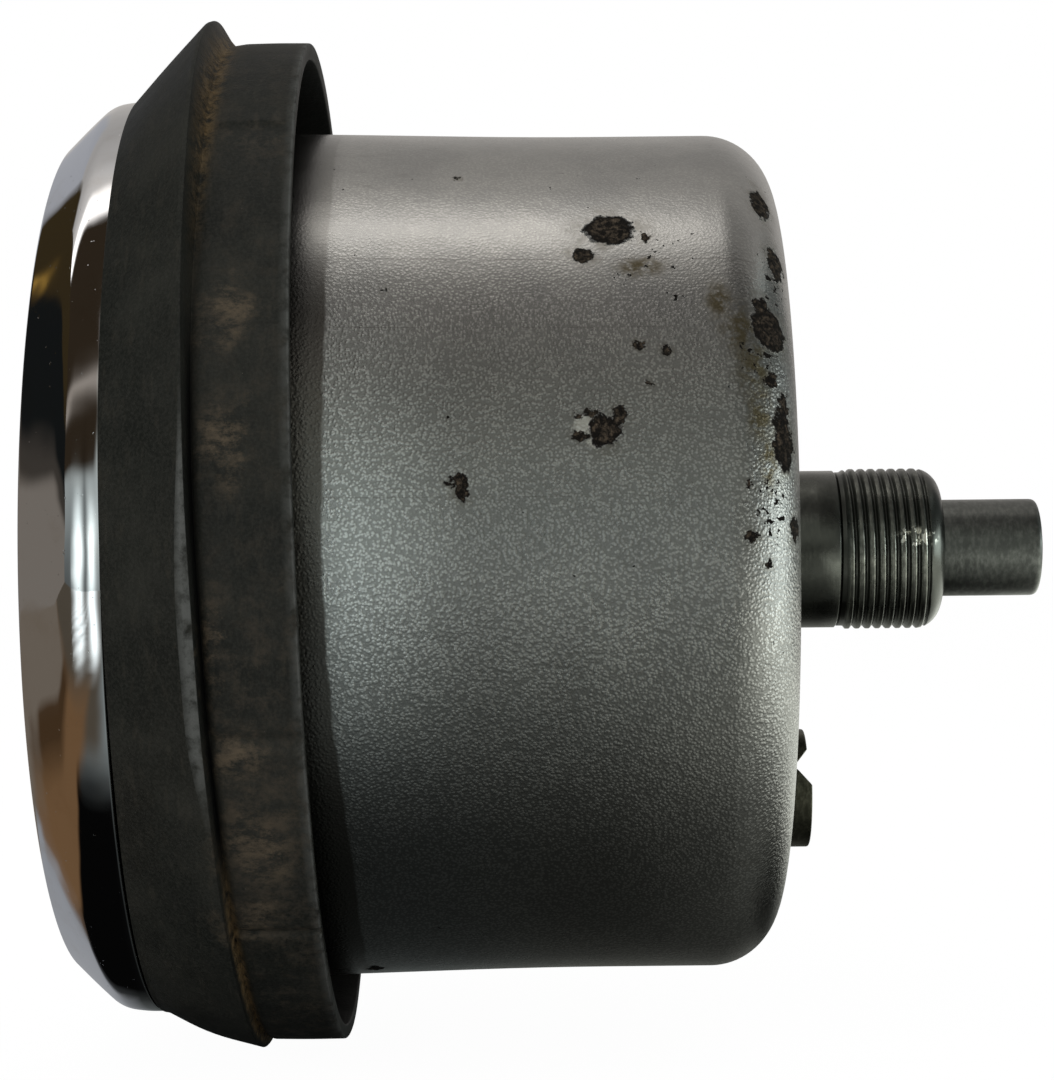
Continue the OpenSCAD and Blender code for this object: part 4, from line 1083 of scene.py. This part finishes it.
def ground_card():
    """A card just over the floor: dark under the can and the boss, pale behind the drive.

    In front of the dial it is brown with a black patch under the bezel, pale on the far side, and
    crossed by the reflections of the arch's two windows.
    """
    stops = np.array(GROUND_STOPS, float)
    xs = np.unique(np.concatenate([np.linspace(-620, 620, 63), np.linspace(-80, 120, 51)]))[:, None]
    ys = np.unique(np.concatenate([np.linspace(-900, 640, 89), np.linspace(-80, 140, 89)]))[None, :]
    grid = np.stack(np.broadcast_arrays(xs, ys, np.full((1, 1), FLOOR_Z + 0.4)), -1)
    level = np.interp(xs, stops[:, 0], stops[:, 1])
    far = step(xs, 60, 120)
    beyond = (3.6 - 1.9 * far) * step(ys, 48, 40) * step(xs, 8, 20)
    beside_ring = 1.2 * hump((ys + 2) / 34) * step(xs, 60, 60)
    level = level * (1 + beyond) * (1 + beside_ring)
    level = level + 1.3 * step(ys, 104, 90) * (1 - 0.5 * step(np.abs(xs), 150, 200))
    under_union = step(xs, 24, -14) * step(xs, -60, 30) * step(ys, 76, 8) * step(ys, 134, -20)
    level = level * (1 - 0.9 * under_union)
    near = np.broadcast_to(step(ys, 50, -30), level.shape)
    tint = toward(PLAIN * np.ones((*level.shape, 3)), (COOL, near))
    reach = np.maximum((xs - 60) / 560, 0.05)
    windows = hump((ys + 17 + 95 * reach) / (46 * reach))
    windows = windows + hump((ys + 17 + 241 * reach) / (38 * reach))
    front = step(xs, 6, 6) * step(xs, 170, -60) * step(ys, -34, -10)
    under_bezel = step(xs, 8, 8) * step(xs, 92, -20) * step(ys, -4, -10) * step(ys, -50, 8)
    colours = toward(
        level[..., None] * tint,
        ((0.085, 0.07, 0.052), step(xs, 80, 30) * step(ys, -14, -16)),
        ((1.9, 2.05, 2.05), step(xs, 150, 60) * windows),
        (BROWN, front),
        (0.35 * BROWN, front * step(ys, -88, -45)),
        (TAN, front * step(ys, -160, -40)),
        ((0.002, 0.002, 0.002), under_bezel),
        ((0.32, 0.33, 0.35), step(xs, 13, -6) * step(ys, -14, -8) * step(ys, -100, 20)),
        (TAN, step(xs, 16, -8) * step(ys, -80, -20)),
    )
    glowing_card("ground_card", grid, colours)


def end_cards():
    """Walls in front of the dial and behind the drive.

    The front one is pale low down, dark above and brown at the top, with an orange patch, and
    blue-grey on the far side. The rear one has a window low down and is pale again at the top.
    """
    front_y, rear_y = -600.0, 640.0
    xs = np.linspace(-1500, 620, 213)[:, None]
    zs = np.linspace(FLOOR_Z, 780, 170)[None, :]
    grid = np.stack(np.broadcast_arrays(xs, np.full((1, 1), front_y), zs), -1)
    up = np.broadcast_to(zs, (len(xs), zs.size))
    colours = toward(
        np.ones((*up.shape, 3)) * (0.20, 0.175, 0.15),
        ((0.05, 0.043, 0.036), step(up, 75, 45)),
        ((0.008, 0.009, 0.009), step(up, 130, 60)),
        (DEEP_BROWN, step(up, 345, 30)),
        ((0.33, 0.345, 0.38), np.broadcast_to(step(xs, -690, -50), up.shape)),
    )
    orange = hump((xs + 335) / 26) * hump((zs - 372) / 24)
    glowing_card("front_wall_card", grid, colours + orange[..., None] * np.array([0.3, 0.17, 0.03]))
    xs = np.linspace(-620, 620, 63)[:, None]
    zs = np.linspace(-67, 620, 100)[None, :]
    grid = np.stack(np.broadcast_arrays(xs, np.full((1, 1), rear_y), zs), -1)
    window = step(xs, -160, 140) * step(xs, 420, -160) * step(zs, 165, -65)
    glow = 0.14 + 3.5 * window + 0.8 * step(zs, 500, 80)
    glowing_card("rear_wall_card", grid, glow[..., None] * COOL)


def lamp(name, place, aim, size, power):
    """A soft square lamp at a place that points at another, in metres. Mirrors don't see it."""
    light = bpy.data.lights.new(name, "AREA")
    light.shape = "SQUARE"
    light.size = size
    light.energy = power
    obj = placed(name, light)
    back = Matrix.Translation(place).translation - Matrix.Translation(aim).translation
    obj.matrix_world = Matrix.Translation(place) @ back.to_track_quat("Z", "Y").to_matrix().to_4x4()
    obj.visible_glossy = False


def camera():
    """The photograph's camera: 390 mm from the axis on the +X side, level, and slightly rolled."""
    place = (0.390, 0.0386, 0.0017)
    focal_pixels, image_height = 2800, 1080
    lens = bpy.data.cameras.new("camera")
    lens.sensor_width = 36.0
    lens.lens = focal_pixels / image_height * lens.sensor_width
    lens.clip_start = 0.01
    obj = placed("camera", lens)
    roll = math.radians(0.6)
    right = (0, math.cos(roll), -math.sin(roll))
    upward = (0, math.sin(roll), math.cos(roll))
    backward = (1, 0, 0)
    rows = [(right[k], upward[k], backward[k], place[k]) for k in range(3)]
    obj.matrix_world = Matrix((*rows, (0, 0, 0, 1)))
    bpy.context.scene.camera = obj


floor()
background()
arch_card()
ground_card()
end_cards()
lamp("overhead", (0.35, 0.0, 0.9), (0, 0.03, 0), 0.7, 1.5)
lamp("front_fill", (0.9, -0.5, 0.12), (0, 0.02, 0), 0.8, 7.2)
camera()

bpy.context.scene.view_settings.view_transform = "Standard"
